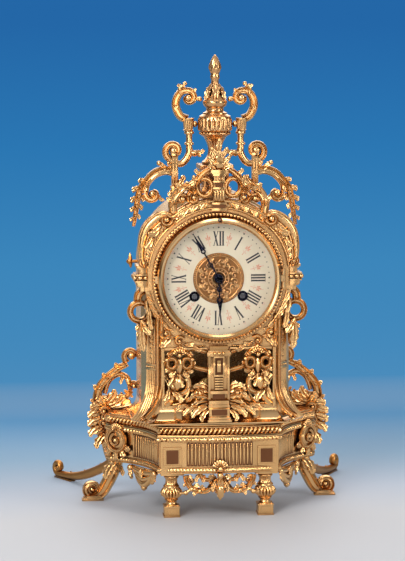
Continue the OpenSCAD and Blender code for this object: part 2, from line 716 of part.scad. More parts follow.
module crest_centre() color(gilt) {
  // Cartouche over the dial: fluted plaque, plume, pierced ovals and brow scrolls
  z = dial_z + panel_r;
  t = 4.5;
  difference() {
    union() {
      at_depth(panel_d - t / 2) {
        translate([-6.5, -t / 2 - 1, z - 5]) cube([13, t + 1, 6]);
        translate([-4.6, -t / 2 - 1, z + 1]) cube([9.2, t + 1, 24]);
        translate([-6, -t / 2 - 2, z + 24]) cube([12, t + 2, 4]);
        bud([0, z + 27], 6, [0, z + 42], 4.4);
        bud([0, z + 42], 4.4, [0, z + 50.5], 1.8);
        pair() {
          bud([2, z + 30], 3, [9, z + 35], 1.8);
          bud([2, z + 37], 3, [7.5, z + 43], 1.6);
          bar(spiral([11.5, z + 14], 7, 7, 0, 360, 11), 3.2, 3.2, t, t);
          bar(smooth([[7, z + 31], [12, z + 26], [17, z + 22], [21, z + 13], [20, z + 6]], 2), 5, 4, t, t);
          bar(spiral([20.5, z + 5.5], 6, 1.4, 110, -240, 10), 4, 3, t, t);
          bar(smooth([[21, z + 12], [27, z + 15.5], [34, z + 9], [38, z], [37, z - 11]], 2), 5,
              4.4, t, t, 1.4);
          bar([for (a = [86:-6:50]) [0, dial_z] + on_circle(bead_ring_r + 4, a)], 5.2, 3.6, t, t);
          bud([25, z + 14], 3, [22, z + 21], 1.8);
        }
      }
    }
    translate([-80, dial_y + panel_d, dial_z]) cube([160, 60, 120]);
    slab(-10, panel_d + 1) circle(bead_ring_r + seat_gap);
    shoulder_room();
  }
}

// Space that the shoulders' top volutes take from the brow scrolls
module shoulder_room() {
  pair() slab(-10, panel_d + 1) translate(shoulder_top) circle(7.9);
}

module crest_half() {
  // Ring scroll, post, arch and trailing branch; heights are counted from the hood's top
  z = hood_top;
  x = socket_x;
  ring = [x + 12.2, z + 33];
  t = 5;
  difference() {
    union() {
      translate([0, dial_y + urn_d, 0]) {
        bar(smooth([[x - 0.8, z + 36], [x - 0.6, z + 31], [x + 2.6, z + 25], [x + 7.5, z + 22.2],
              ring + on_circle(8, -62)], 2), 5, 4, t, t);
        bar(spiral(ring, 8, 2.2, -62, 330, 10), 4, 3, t, t);
        // Fluted post from the ring's eye down to the hood
        translate([ring[0] - 3.6, -2.8, z - 14]) cube([5.6, 5.6, 47]);
        // Arch with its inner volute
        arch = smooth([[ring[0] - 1, z + 15], [ring[0] + 7, z + 17], [ring[0] + 16, z + 14],
               [ring[0] + 23, z + 6], [ring[0] + 24, z - 2]], 2);
        bar(arch, 5, 4.4, t, t, 0.6);
        bar(spiral([ring[0] + 17.6, z - 2.4], 6.4, 1.6, 0, -290, 10), 4.4, 3, t, t);
        // Branch that trails down outside the hood
        branch = smooth([[ring[0] + 20, z + 11], [ring[0] + 27, z + 3], [ring[0] + 30, z - 7],
                [ring[0] + 31.6, z - 18], [ring[0] + 33.4, z - 30]], 2);
        bar(branch, 4.4, 2, 4.4, 2.4);
        lobes(branch, 3, 7, -35, 1);
        lobes(branch, 3, 6, -35, -1);
        bud([ring[0] + 7, z + 18], 2.4, [ring[0] + 12, z + 23], 1.8);
        bud([ring[0] + 2, z + 18], 2.2, [ring[0] + 4, z + 23], 1.4);
        bud([ring[0] - 4, z + 4], 3.4, [ring[0] - 8, z + 12], 2);
        bar(smooth([[ring[0] - 2, z + 2], [ring[0] - 9, z + 4], [ring[0] - 14, z - 1]], 2), 4.6, 3, t, t);
        // Leafy link to the urn's stem
        bud([x - 1, z + 31], 2.6, [9, z + 33], 1.6);
        bud([x - 3, z + 31], 2, [12, z + 29], 1.4);
      }
    }
    translate([0, 0, hood_rise]) on_axis(case_back_d) cylinder(h = case_back_d, r = hood_r + seat_gap);
    translate([0, dial_y + urn_d - 20, z + 35.2 - seat_gap]) cube([x + 3, 40, 20]);
    translate([0, dial_y + urn_d, z - 5]) cylinder(h = 50, r = 8);
    translate([0, dial_y + urn_d - 30, z - 5]) cube([pedestal_w + 2.5, 60, 28]);
  }
}

module crest_right() color(gilt) crest_half();

module crest_left() color(gilt) mirror([1, 0, 0]) crest_half();

module urn_pedestal() color(gilt) {
  w = pedestal_w;
  difference() {
    translate([0, dial_y + urn_d, 0]) {
      translate([-w, -w, urn_z - 4]) cube([2 * w, 2 * w, 4]);
      translate([-w + 2, -w + 2, urn_z - 7]) cube([2 * w - 4, 2 * w - 4, 3]);
      translate([-w + 3.5, -w + 3.5, hood_top - 4]) cube([2 * w - 7, 2 * w - 7, pedestal_h - 3]);
      translate([-w + 1.5, -w + 1.5, hood_top - 4]) cube([2 * w - 3, 2 * w - 3, 8]);
    }
    translate([0, 0, hood_rise]) on_axis(case_back_d) cylinder(h = case_back_d, r = hood_r + seat_gap);
  }
}

module urn_body() color(gilt) {
  r = urn_r;
  translate([0, dial_y + urn_d, urn_z]) rotate_extrude()
    polygon([[0, 0], [r - 3.5, 0], [r - 3.5, 2], [r - 6, 3.4], [r - 7.8, 7], [r - 8.8, 11], [r - 8.6, 15],
        [r - 6, 20.5], [r - 4.8, 23], [r - 2, 24.4], [r - 2, 26.6], [r, 28], [r, 37], [r - 1.4, 39],
        [r - 4.4, 41], [r - 4.4, 42.4], [r - 7, 43.4], [r - 7, urn_h - 1], [r - 5.4, urn_h], [0, urn_h]]);
}

module urn_lid() color(gilt) {
  r = urn_r;
  translate([0, dial_y + urn_d, urn_z + urn_h]) difference() {
    rotate_extrude()
      polygon([[0, 0], [r - 5.4, 0], [r - 4.6, 2.4], [r - 4.4, 4], [r - 6, 6.8], [r - 9, 12.4],
          [r - 11, 18], [r - 11.3, 22], [r - 10.6, 23], [r - 10.6, 25.4], [r - 11, 26.4],
          [r - 8.8, 31], [r - 10, 35.6], [r - 12.8, 41], [r - 13.7, 42.4], [0, 42.4]]);
    // Small vent at the front of the lid
    translate([0, 0, 3.2]) rotate([90, 0, 0]) cylinder(h = r, r = 1.3);
  }
}

module urn_handles() color(gilt) {
  z = urn_z;
  x = socket_x;
  difference() {
    pair() translate([0, dial_y + urn_d, 0]) {
      // Fluted socket and the collars of the tube under it
      translate([x, 0, z + 28]) cylinder(h = 10, r1 = 3.8, r2 = 4.8, $fn = 20);
      translate([x - 0.6, 0, z + 13]) cylinder(h = 16, r = 2.6, $fn = 16);
      translate([x - 0.6, 0, z + 25]) cylinder(h = 2.4, r = 4.2, $fn = 20);
      translate([x - 0.6, 0, z + 16]) cylinder(h = 2, r = 4, $fn = 20);
      // Upper handle with its hook volute and the trumpet curl
      arm = smooth([[x + 1, z + 37], [x + 6.6, z + 39.6], [x + 10.2, z + 47], [x + 9.6, z + 54],
             [x + 5.8, z + 59.4], [x + 1.2, z + 60.6]], 2);
      bar(arm, 4.6, 3.8, 4.6, 4.6);
      bar(spiral([x, z + 54.4], 6.2, 1.6, 78, 400, 10), 3.8, 2.8, 4.6, 4);
      bar(smooth([[x + 6.4, z + 58], [x + 7, z + 62.4], [x + 4.4, z + 65]], 2), 3, 4.4, 3.6, 4.4);
      // Buds that reach for the lid and tie the socket to the body
      bud([x - 5.6, z + 54], 1.8, [urn_r - 3, z + 53.4], 1.5);
      bud([x - 4, z + 33], 2.6, [urn_r - 1, z + 33], 2);
      bud([x + 7, z + 64.5], 1.7, [x + 3.2, z + 66], 1.5);
    }
    translate([0, dial_y + urn_d, z + 20]) cylinder(h = 20, r = urn_r + seat_gap);
    translate([0, dial_y + urn_d, z + 47]) cylinder(h = 12, r = urn_r - 3.6);
  }
}

/* ---------- bezel and dial ---------- */

seat_front_d = 5;                     // depth of the face that the bezel closes on
glass_d = -0.2;                       // depth of the glass's front
hinge_x = bezel_r + 1.9;
hinge_d = 2.2;
hinge_r = 1.7;
hinge_pin_r = 0.7;
knuckle = 5;                          // length of the bezel's knuckle
dial_back_d = 9.6;
dial_r = 46.7;
seat_in_r = 47;

module hinge_cylinder(z0, h, r, x = hinge_x, d = hinge_d) {
  translate([x, dial_y + d, dial_z + z0]) cylinder(h = h, r = r);
}

module bead_ring() color(gilt) {
  r = bead_ring_r;
  difference() {
    turned([[bezel_r + 0.5, panel_d], [bezel_r + 0.5, panel_d - 2.2], [r - 2.9, panel_d - 3.6],
        [r - 1.8, panel_d - 4], [r - 0.6, panel_d - 3.4], [r, panel_d - 2], [r, panel_d]]);
    // Room for the hinge
    translate([bezel_r - 4, dial_y - 2, dial_z - knuckle * 1.5 - 1.4]) cube([20, panel_d + 2.2,
        3 * knuckle + 2.8]);
  }
}

module bezel_seat() color(gilt) {
  difference() {
    union() {
      turned([[seat_in_r, seat_front_d], [bezel_r, seat_front_d], [bezel_r, panel_d],
          [bezel_r - 1.2, panel_d],
          [bezel_r - 1.2, panel_d + panel_t + 2], [seat_in_r - 2, panel_d + panel_t + 2],
          [seat_in_r - 2, dial_back_d], [seat_in_r, dial_back_d]]);
      // Two fixed knuckles of the bezel's hinge, with the pin through them
      for (z0 = [-knuckle * 1.5, knuckle / 2 + 0.3]) {
        hinge_cylinder(z0, knuckle - 0.3, hinge_r);
        translate([hinge_x - 3.6, dial_y + hinge_d, dial_z + z0]) cube([3.6, panel_d - hinge_d,
            knuckle - 0.3]);
      }
      hinge_cylinder(-knuckle * 1.5 - 1, 3 * knuckle + 2, hinge_pin_r);
    }
    rod([0, regulator_up], 1.5, 0, 30);
  }
}

module bezel() color(gilt) {
  r = bezel_r;
  s = sight_r;
  back = seat_front_d - 0.15;
  difference() {
    union() {
      difference() {
        turned([[r, back], [r, 1.4], [r - 0.8, -1.6], [r - 2.3, -3.4], [r - 3.8, -3], [s, -1.2],
            [s, glass_d], [s + 1.9, glass_d], [s + 1.9, glass_d + glass_t],
            [s + 0.6, glass_d + glass_t], [s + 0.6, back]]);
        // Room for the fixed knuckles
        for (z0 = [-knuckle * 1.5 - 0.6, knuckle / 2]) {
          hinge_cylinder(z0, knuckle + 0.6, hinge_r + 0.35);
          translate([hinge_x - 4, dial_y + hinge_d - 0.4, dial_z + z0]) cube([10, 10, knuckle + 0.6]);
        }
      }
      hinge_cylinder(-knuckle / 2, knuckle, hinge_r);
      translate([hinge_x - 3, dial_y + hinge_d - hinge_r, dial_z - knuckle / 2]) cube([3,
          hinge_r * 1.6, knuckle]);
      // Finger lip on the side away from the hinge
      translate([-r - 1.6, dial_y + 0.4, dial_z - 3]) cube([3, 2.6, 6]);
    }
    hinge_cylinder(-knuckle / 2 - 1, knuckle + 2, hinge_pin_r + run);
    rod([0, regulator_up], 1.9, -6, 12);
  }
}

module bezel_glass() color([0.8, 0.9, 0.95, 0.35]) {
  edge = 1.2;
  turned([[0, glass_d - 0.6], [sight_r - edge, glass_d - 0.6], [sight_r - 0.2, glass_d],
      [sight_r + 1.7, glass_d], [sight_r + 1.7, glass_d + glass_t], [0, glass_d + glass_t]]);
}

winding = [[wind_x, -wind_drop], [-wind_x, -wind_drop]];
feet_r = 36;                          // circle of the dial's feet

module dial_plate() color(brass) {
  difference() {
    union() {
      turned([[0, dial_back_d - 1.2], [dial_r, dial_back_d - 1.2], [dial_r, dial_back_d], [0, dial_back_d]]);
      for (a = [30, 150, 270]) rod(on_circle(feet_r, a), 1.6, dial_back_d - 0.4, plate_d);
    }
    rod([0, 0], 3.4, 0, dial_back_d + 1);
    for (at = winding) rod(at, wind_arbor_r + 1.2, 0, dial_back_d + 1);
  }
}

module chapter_ring() color(enamel) {
  difference() {
    turned([[dial_centre_r + 0.1, 7.5], [dial_r - 0.3, 7.5], [dial_r - 0.3, dial_back_d - 1.2],
        [dial_centre_r + 0.1, dial_back_d - 1.2]]);
    for (at = winding) rod(at, wind_arbor_r + 1.2, 0, dial_back_d + 1);
  }
  // Black collets that line the winding holes
  color(blued) for (at = winding) difference() {
    rod(at, wind_arbor_r + 1.2, 7.2, dial_back_d - 1.3);
    rod(at, wind_arbor_r + 0.6, 6, dial_back_d);
  }
}

module dial_centre() color(gilt) {
  difference() {
    turned([[3.6, 7.9], [7, 7], [12, 7.6], [dial_centre_r - 3, 7], [dial_centre_r - 1.4, 6.6],
        [dial_centre_r, 7.2], [dial_centre_r, dial_back_d - 1.2], [3.6, dial_back_d - 1.2]]);
    for (at = winding) rod(at, wind_arbor_r + 1.6, 0, dial_back_d + 1);
  }
}

/* ---------- hands and motion work ---------- */

cannon_r = 1.5;
hour_pipe_r = 2.5;
centre_r = 0.9;
minute_hand_d = 3.6;
hour_hand_d = 5.2;
hand_t = 0.6;

// Gear outline with straight flanks; teeth are thinner than their spaces
function gear_points(n, m, add, ded, root, tip) =
  [for (i = [0:n - 1], k = [0:3])
    let (a = 360 / n, r = (k == 0 || k == 3) ? m * n / 2 - ded : m * n / 2 + add,
      half = (k == 0 || k == 3) ? root : tip)
    on_circle(r, a * (i + (k < 2 ? -half : half)))];

module gear_2d(n, m, turn = 0) {
  rotate(turn) polygon(gear_points(n, m, 0.8 * m, 1.25 * m, 0.27, 0.1));
}

module pinion_2d(n, m, turn = 0) {
  rotate(turn) polygon(gear_points(n, m, 0.6 * m, 1.15 * m, 0.2, 0.12));
}

// Wheel with spokes, between two depths
module wheel(at, n, m, front, t, spokes = 4, turn = 0) {
  rim = m * n / 2 - 1.25 * m - 1.3;
  hub = max(2.4, m * n * 0.11);
  translate([at[0], 0, at[1]]) slab(front, front + t) difference() {
    gear_2d(n, m, turn);
    difference() {
      circle(rim);
      circle(hub);
      for (i = [0:spokes - 1]) rotate(360 * i / spokes) translate([0, -0.8]) square([rim + 1, 1.6]);
    }
  }
}

module pinion(at, n, m, front, l, turn = 0) {
  translate([at[0], 0, at[1]]) slab(front, front + l) pinion_2d(n, m, turn);
}

module hand(l, w, turn, front, eye) {
  // Pierced hand: a disc round the hub, a stem and a leaf-shaped end
  slab(front, front + hand_t) rotate(-turn) difference() {
    union() {
      circle(eye);
      translate([-0.6, 0]) square([1.2, l * 0.62]);
      translate([0, l * 0.3]) circle(w * 0.8);
      translate([0, l * 0.62]) circle(w);
      polygon([[-w * 0.9, l * 0.63], [w * 0.9, l * 0.63], [0.2, l], [-0.2, l]]);
      translate([-0.5, -l * 0.14]) square([1, l * 0.14]);
    }
    translate([0, l * 0.62]) circle(w * 0.45);
    translate([0, l * 0.3]) circle(w * 0.3);
    circle(eye - 1.6);
  }
}

motion_m = 0.5;
motion_reach = motion_m * 24;
motion_at = on_circle(motion_reach, 60);
cannon_teeth = 12;
minute_teeth = 36;
minute_pinion_teeth = 10;
hour_teeth = 40;
hour_m = motion_reach * 2 / (minute_pinion_teeth + hour_teeth);

// Turn of n teeth at to that puts them in the spaces of the wheel at from that drives them
function mesh_turn(n, from, to, driver_n, driver_turn) =
  let (line = atan2(to[1] - from[1], to[0] - from[0]))
  line + 180 + 180 / n + (line - driver_turn) * driver_n / n;

motion_turn = mesh_turn(minute_teeth, [0, 0], motion_at, cannon_teeth, 0);
hour_turn = mesh_turn(hour_teeth, motion_at, [0, 0], minute_pinion_teeth, motion_turn);

module minute_hand() color(blued) {
  // Hand squared on the cannon pinion's pipe
  difference() {
    union() {
      hand(minute_hand_l, 2.1, minute_at, minute_hand_d, cannon_r + 1.4);
      rod([0, 0], cannon_r, minute_hand_d, plate_d - 0.4);
      pinion([0, 0], cannon_teeth, motion_m, plate_d - 4, 2.8);
    }
    rod([0, 0], centre_r + run, minute_hand_d - 1, plate_d);
  }
}

module hand_nut() color(blued) {
  turned([[0, 1.7], [1.1, 1.8], [1.9, 2.5], [1.9, 3.1], [1.4, minute_hand_d], [0, minute_hand_d]]);
}

module hour_hand() color(blued) {
  difference() {
    hand(hour_hand_l, 2.6, hour_at, hour_hand_d, hour_pipe_r + 1.2);
    rod([0, 0], hour_pipe_r, hour_hand_d - 1, hour_hand_d + hand_t + 1);
  }
}

module hour_wheel() color(brass) {
  // Wheel and the pipe that carries the hour hand
  difference() {
    union() {
      wheel([0, 0], hour_teeth, hour_m, dial_back_d + 2.4, 1.2, 4, hour_turn);
      rod([0, 0], hour_pipe_r, hour_hand_d, dial_back_d + 3.6);
    }
    rod([0, 0], cannon_r + run, hour_hand_d - 1, plate_d);
  }
}

module minute_wheel() color(brass) {
  difference() {
    union() {
      wheel(motion_at, minute_teeth, motion_m, plate_d - 3.4, 1.2, 4, motion_turn);
      pinion(motion_at, minute_pinion_teeth, hour_m, dial_back_d + 2, plate_d - 5.4 - dial_back_d,
          motion_turn);
    }
    rod(motion_at, 0.6 + run, dial_back_d, plate_d);
  }
}

/* ---------- plates ---------- */

back_plate_d = plate_d + plate_t + plate_gap;
train_end_d = back_plate_d + plate_t;
pallet_at = [0, pallet_up];
pivot_r = 0.45;
barrel_teeth = 84;
barrel_m = 0.45;
second_pinion_teeth = 14;
second_teeth = 60;
centre_pinion_teeth = 10;
barrel_reach = barrel_m * (barrel_teeth + second_pinion_teeth) / 2;
second_m = 0.45;
second_reach = second_m * (second_teeth + centre_pinion_teeth) / 2;

// The point that lies ra from a and rb from b, to the left of the line from a to b
function meet(a, ra, b, rb) =
  let (v = b - a, l = norm(v), turn = acos((ra * ra + l * l - rb * rb) / (2 * ra * l)))
  a + on_circle(ra, atan2(v[1], v[0]) + turn);

function mirrored(p) = [-p[0], p[1]];

second_at = meet([0, 0], second_reach, winding[0], barrel_reach);
strike_reach = second_reach + 1.2;    // keeps the strike train clear of the centre pinion
strike_second_at = mirrored(meet([0, 0], strike_reach, winding[0], barrel_reach));
centre_teeth = 80;
third_pinion_teeth = 8;
centre_m = 0.34;
third_reach = centre_m * (centre_teeth + third_pinion_teeth) / 2;
third_at = on_circle(third_reach, 95);
third_teeth = 72;
escape_pinion_teeth = 6;
third_m = 0.36;
escape_reach = third_m * (third_teeth + escape_pinion_teeth) / 2;
escape_r = 10;
escape_teeth = 40;
pallet_drop = 12;                     // distance between the pallet and escape arbors
escape_at = meet(pallet_at, pallet_drop, third_at, escape_reach);
pin_at = strike_second_at + on_circle(second_reach, 118);
pin_teeth = 60;
pin_m = 0.35;
warning_pinion_teeth = 6;
warning_reach = pin_m * (pin_teeth + warning_pinion_teeth) / 2;
warning_at = pin_at + on_circle(warning_reach, 200);
warning_teeth = 40;
warning_m = 0.32;
fly_pinion_teeth = 6;
fly_reach = warning_m * (warning_teeth + fly_pinion_teeth) / 2;
fly_at = warning_at + on_circle(fly_reach, 250);
hammer_at = [-36.5, 3];
pallet_arbor_r = 1;
pillar_angles = [5, 58, 108, 270];
pillar_r = 38.6;
pillar_w = 2.2;

// Holes for the arbors that both plates carry
module arbor_holes(front, back) {
  for (at = [second_at, strike_second_at, third_at, escape_at, pallet_at, pin_at, warning_at,
      fly_at, hammer_at])
    rod(at, pivot_r + run, front - 1, back + 1);
  for (at = winding) rod(at, wind_arbor_r + run, front - 1, back + 1);
}

module front_plate() color(brass) {
  difference() {
    union() {
      slab(plate_d, plate_d + plate_t) {
        circle(plate_r);
        // Lug that carries the regulating arbor
        translate([-3, 0]) square([6, regulator_up]);
        translate([0, regulator_up]) circle(3);
      }
      // Posts of the minute wheel and of the two ratchet clicks
      rod(motion_at, 0.6, dial_back_d + 1.4, plate_d + 1);
      for (at = winding) rod([at[0], at[1] - 8.2], 1, plate_d - 2.6, plate_d + 1);
    }
    arbor_holes(plate_d, plate_d + plate_t);
    rod([0, 0], centre_r + run, plate_d - 1, plate_d + plate_t + 1);
    rod([0, regulator_up], 1 + run, plate_d - 1, plate_d + plate_t + 1);
  }
}

module back_plate() color(brass) {
  // Back plate with its four riveted pillars
  difference() {
    union() {
      slab(back_plate_d, train_end_d) circle(plate_r);
      for (a = pillar_angles) {
        rod(on_circle(pillar_r, a), pillar_w, plate_d + plate_t, back_plate_d + 0.5);
        rod(on_circle(pillar_r, a), pillar_w * 0.5, train_end_d - 1, train_end_d + 1);
      }
    }
    arbor_holes(back_plate_d, train_end_d);
    rod(pallet_at, pallet_arbor_r + run, back_plate_d - 1, train_end_d + 1);
    rod([0, 0], centre_r + run, back_plate_d - 1, train_end_d + 1);
  }
}

/* ---------- trains ---------- */

drum_d = plate_d + plate_t + 0.8;     // depth of the barrel drums
drum_l = 12.4;
great_t = 1.6;
great_d = drum_d + drum_l;
second_wheel_d = great_d + great_t + 0.8;
centre_wheel_d = second_wheel_d + 2.6;
gap_front = plate_d + plate_t + 0.3;
gap_back = back_plate_d - 0.3;

// An arbor between the plates with its two pivots in them
module arbor(at, r) {
  rod(at, r, gap_front, gap_back);
  rod(at, pivot_r, plate_d + 0.4, train_end_d - 0.4);
}

second_turn = mesh_turn(second_pinion_teeth, winding[0], second_at, barrel_teeth, 0);
centre_turn = mesh_turn(centre_pinion_teeth, second_at, [0, 0], second_teeth, second_turn);
third_turn = mesh_turn(third_pinion_teeth, [0, 0], third_at, centre_teeth, centre_turn);
escape_turn = mesh_turn(escape_pinion_teeth, third_at, escape_at, third_teeth, third_turn);
strike_second_turn = mesh_turn(second_pinion_teeth, winding[1], strike_second_at, barrel_teeth, 0);
pin_turn = mesh_turn(centre_pinion_teeth, strike_second_at, pin_at, second_teeth, strike_second_turn);
warning_turn = mesh_turn(warning_pinion_teeth, pin_at, warning_at, pin_teeth, pin_turn);
fly_turn = mesh_turn(fly_pinion_teeth, warning_at, fly_at, warning_teeth, warning_turn);

module barrel(at) {
  // Drum with its great wheel and cap, bored for the winding arbor
  r = 17;
  difference() {
    union() {
      rod(at, r, drum_d, great_d);
      translate([at[0], 0, at[1]]) slab(great_d, great_d + great_t) gear_2d(barrel_teeth, barrel_m);
    }
    rod(at, r - 1.2, drum_d + 1, great_d);
    rod(at, wind_arbor_r + run, drum_d - 1, great_d + great_t + 1);
  }
}

module winding_arbor(at) {
  // Arbor with its hub in the barrel, ratchet wheel and winding square
  ratchet_teeth = 18;
  rod(at, wind_arbor_r, plate_d - 3, train_end_d - 0.2);
  rod(at, wind_arbor_r + 3, drum_d + 1.6, great_d - 0.6);
  translate([at[0], 0, at[1]]) {
    slab(plate_d - 2, plate_d - 0.4)
      polygon([for (i = [0:ratchet_teeth - 1], k = [0, 1])
            on_circle(k == 0 ? 6.6 : 5.5, 360 / ratchet_teeth * (i + k * 0.16))]);
    slab(6.3, plate_d - 2.5) square(square_w, center = true);
  }
}

module going_barrel() color(brass) barrel(winding[0]);

module strike_barrel() color(brass) barrel(winding[1]);

module going_arbor() color(steel) winding_arbor(winding[0]);

module strike_arbor() color(steel) winding_arbor(winding[1]);

module second_wheel(at, turn) {
  pinion(at, second_pinion_teeth, barrel_m, great_d - 0.5, second_wheel_d - great_d + 0.5, turn);
  wheel(at, second_teeth, second_m, second_wheel_d, 1.2, 4, turn);
  arbor(at, 1);
}

module intermediate_wheel() color(brass) second_wheel(second_at, second_turn);

module strike_second_wheel() color(brass) {
  second_wheel(strike_second_at, strike_second_turn);
  // Pivot carried on through the back plate for the count wheel
  rod(strike_second_at, pivot_r, train_end_d - 1, train_end_d + 2.4);
}

module count_wheel() color(brass) {
  // Locking plate with its notches, pinned on outside the back plate
  notches = 11;
  r = 9;
  translate([strike_second_at[0], 0, strike_second_at[1]])
    slab(train_end_d + 0.6, train_end_d + 1.8) difference() {
      circle(r);
      for (i = [0:notches - 1]) rotate(i * (i + 3) * 180 / 77) translate([r - 1.1, -0.6]) square([2, 1.2]);
      difference() {
        circle(r - 3);
        circle(2.4);
        for (a = [0, 90]) rotate(a) translate([-r, -0.8]) square([2 * r, 1.6]);
      }
      circle(pivot_r);
    }
}

module centre_wheel() color(brass) {
  // The centre arbor runs forward through the front plate, inside the cannon pinion
  wheel([0, 0], centre_teeth, centre_m, centre_wheel_d, 1.1, 4, centre_turn);
  pinion([0, 0], centre_pinion_teeth, second_m, second_wheel_d - 0.6,
      centre_wheel_d - second_wheel_d + 0.6, centre_turn);
  rod([0, 0], centre_r, minute_hand_d + 0.2, train_end_d - 0.4);
}

module third_wheel() color(brass) {
  wheel(third_at, third_teeth, third_m, drum_d + 8, 1.1, 4, third_turn);
  pinion(third_at, third_pinion_teeth, centre_m, centre_wheel_d - 0.5, 2.2, third_turn);
  arbor(third_at, 0.8);
}

module escape_wheel() color(brass) {
  pinion(escape_at, escape_pinion_teeth, third_m, drum_d + 7.4, 2.4, escape_turn);
  translate([escape_at[0], 0, escape_at[1]]) slab(drum_d + 2, drum_d + 3) difference() {
    polygon([for (i = [0:escape_teeth - 1], k = [0, 1])
          on_circle(k == 0 ? escape_r : escape_r - 1.5, 360 / escape_teeth * (i + k * 0.3))]);
    difference() {
      circle(escape_r - 2.8);
      circle(2.2);
      for (a = [0, 90]) rotate(a) translate([-escape_r, -0.6]) square([2 * escape_r, 1.2]);
    }
  }
  arbor(escape_at, 0.55);
}

crutch_d = train_end_d + 1;
pendulum_d = train_end_d + 5.4;       // depth of the pendulum rod

module anchor() color(steel) {
  // Pallets over the escape wheel, their arbor, and the crutch behind the back plate
  v = escape_at - pallet_at;
  down = atan2(v[1], v[0]);
  arm = sqrt(pallet_drop * pallet_drop - escape_r * escape_r);
  swing = asin(escape_r / pallet_drop);
  translate([pallet_at[0], 0, pallet_at[1]]) slab(drum_d + 1.8, drum_d + 3.2) difference() {
    union() {
      circle(2.4);
      for (side = [-1, 1]) rotate(down + side * (swing + 4)) {
        translate([0, -0.9]) square([arm + 0.5, 1.8]);
      }
      for (side = [-1, 1]) rotate(down + side * (swing + 4))
        translate([arm - 0.5, -side * 1.9 - 0.5]) square([1, 1.8]);
    }
    translate(v) circle(escape_r + 0.85);
  }
  rod(pallet_at, pallet_arbor_r, gap_front, crutch_d + 1);
  rod(pallet_at, pivot_r, plate_d + 0.4, plate_d + 3);
  translate([pallet_at[0] - 1, 0, pallet_at[1] - 26]) slab(crutch_d, crutch_d + 1) square([2, 26]);
  // Fork whose two prongs hold the pendulum rod between them
  translate([pallet_at[0], 0, pallet_at[1] - 26]) {
    slab(crutch_d, crutch_d + 1) translate([-2.2, -1]) square([4.4, 2]);
    for (side = [-1, 1])
      slab(crutch_d + 0.5, pendulum_d + 1.2) translate([side * 1.65 - 0.45, -1]) square([0.9, 2]);
  }
}

module suspension_cock() color(brass) {
  // Cock on the back plate that carries the regulating arbor and clamps the suspension spring
  up = regulator_up;
  difference() {
    union() {
      slab(train_end_d, train_end_d + 1.2) for (side = [-1, 1])
        translate([side * 7 - 2.5, pallet_up - 4.5]) square([5, 8]);
      for (side = [-1, 1])
        slab(train_end_d + 1.2, pendulum_d - 0.6) translate([side * 7 - 2.5, pallet_up - 0.5]) square([5, 4]);
      slab(pendulum_d - 2, pendulum_d - 0.6) translate([-9.5, pallet_up + 2.5]) square([19, up - pallet_up]);
      slab(train_end_d + 1.2, pendulum_d - 0.6) translate([-3.4, up - 3]) square([6.8, 6]);
      // Spring's upper block
      slab(pendulum_d - 0.6, pendulum_d + 1) translate([-2, pallet_up + 3]) square([4, 3.6]);
      // Suspension spring
      slab(pendulum_d - 0.1, pendulum_d + 0.1) translate([-1.6, pallet_up - 0.6]) square([3.2, 4]);
    }
    rod([0, up], 1 + run, train_end_d - 1, pendulum_d + 3);
  }
}

module regulator_arbor() color(steel) {
  rod([0, regulator_up], 1, 3, pendulum_d - 0.9);
  slab(0.9, 3.2) translate([0, regulator_up]) square(1.3, center = true);
  rod([0, regulator_up], 2, plate_d + plate_t + 0.3, plate_d + plate_t + 1.8);
}

module pendulum() color(brass) {
  bob_z = pallet_up - pendulum_l;
  translate([0, dial_y + pendulum_d, dial_z]) {
    // Hook block under the spring, rod, bob and rating nut
    translate([-1.8, -1, pallet_up - 4.4]) cube([3.6, 2, 3.4]);
    translate([0, 0, bob_z + bob_r - 3]) cylinder(h = pendulum_l - bob_r, r = 0.9);
    translate([0, 0, bob_z - bob_r - 5.4]) cylinder(h = 8.4, r = 0.9);
    translate([0, 0, bob_z]) rotate([90, 0, 0]) rotate_extrude()
      polygon([[0, -3], [bob_r - 4, -3], [bob_r, -1.3], [bob_r, 1.3], [bob_r - 4, 3], [0, 3]]);
    translate([0, 0, bob_z - bob_r - 4.6]) cylinder(h = 2.6, r = 3);
  }
}

module pin_wheel() color(brass) {
  front = drum_d + 4;
  wheel(pin_at, pin_teeth, pin_m, front, 1.1, 4, pin_turn);
  pinion(pin_at, centre_pinion_teeth, second_m, second_wheel_d - 0.5, 2.2, pin_turn);
  arbor(pin_at, 1);
  for (a = [0:36:324]) rod(pin_at + on_circle(8.4, a + pin_turn), 0.45, front - 2.4, front + 0.5);
}

module warning_wheel() color(brass) {
  wheel(warning_at, warning_teeth, warning_m, drum_d + 9, 1, 3, warning_turn);
  pinion(warning_at, warning_pinion_teeth, pin_m, drum_d + 3.4, 2.4, warning_turn);
  arbor(warning_at, 0.55);
}

module fly() color(steel) {
  pinion(fly_at, fly_pinion_teeth, warning_m, drum_d + 8.4, 2.4, fly_turn);
  arbor(fly_at, 0.5);
  slab(drum_d + 12.6, drum_d + 18.8) translate([fly_at[0] - 4.4, fly_at[1] - 0.3]) square([8.8, 0.6]);
}

/* ---------- bell and hammer ---------- */

bell_at = [0, -6];
bell_rim_d = pendulum_d + 4.6;
bell_depth = 12.6;
stand_at = [26, -26];

module bell() color(bell_metal) {
  r = bell_r;
  b = bell_depth;
  turned(concat([for (a = [0:10:80]) [r * cos(a), bell_rim_d + b * sin(a)]], [[1.6, bell_rim_d + b]],
         [[1.6, bell_rim_d + b - 1.6]],
         [for (a = [80:-10:0]) [(r - 1.6) * cos(a), bell_rim_d + (b - 1.6) * sin(a)]]), bell_at);
}

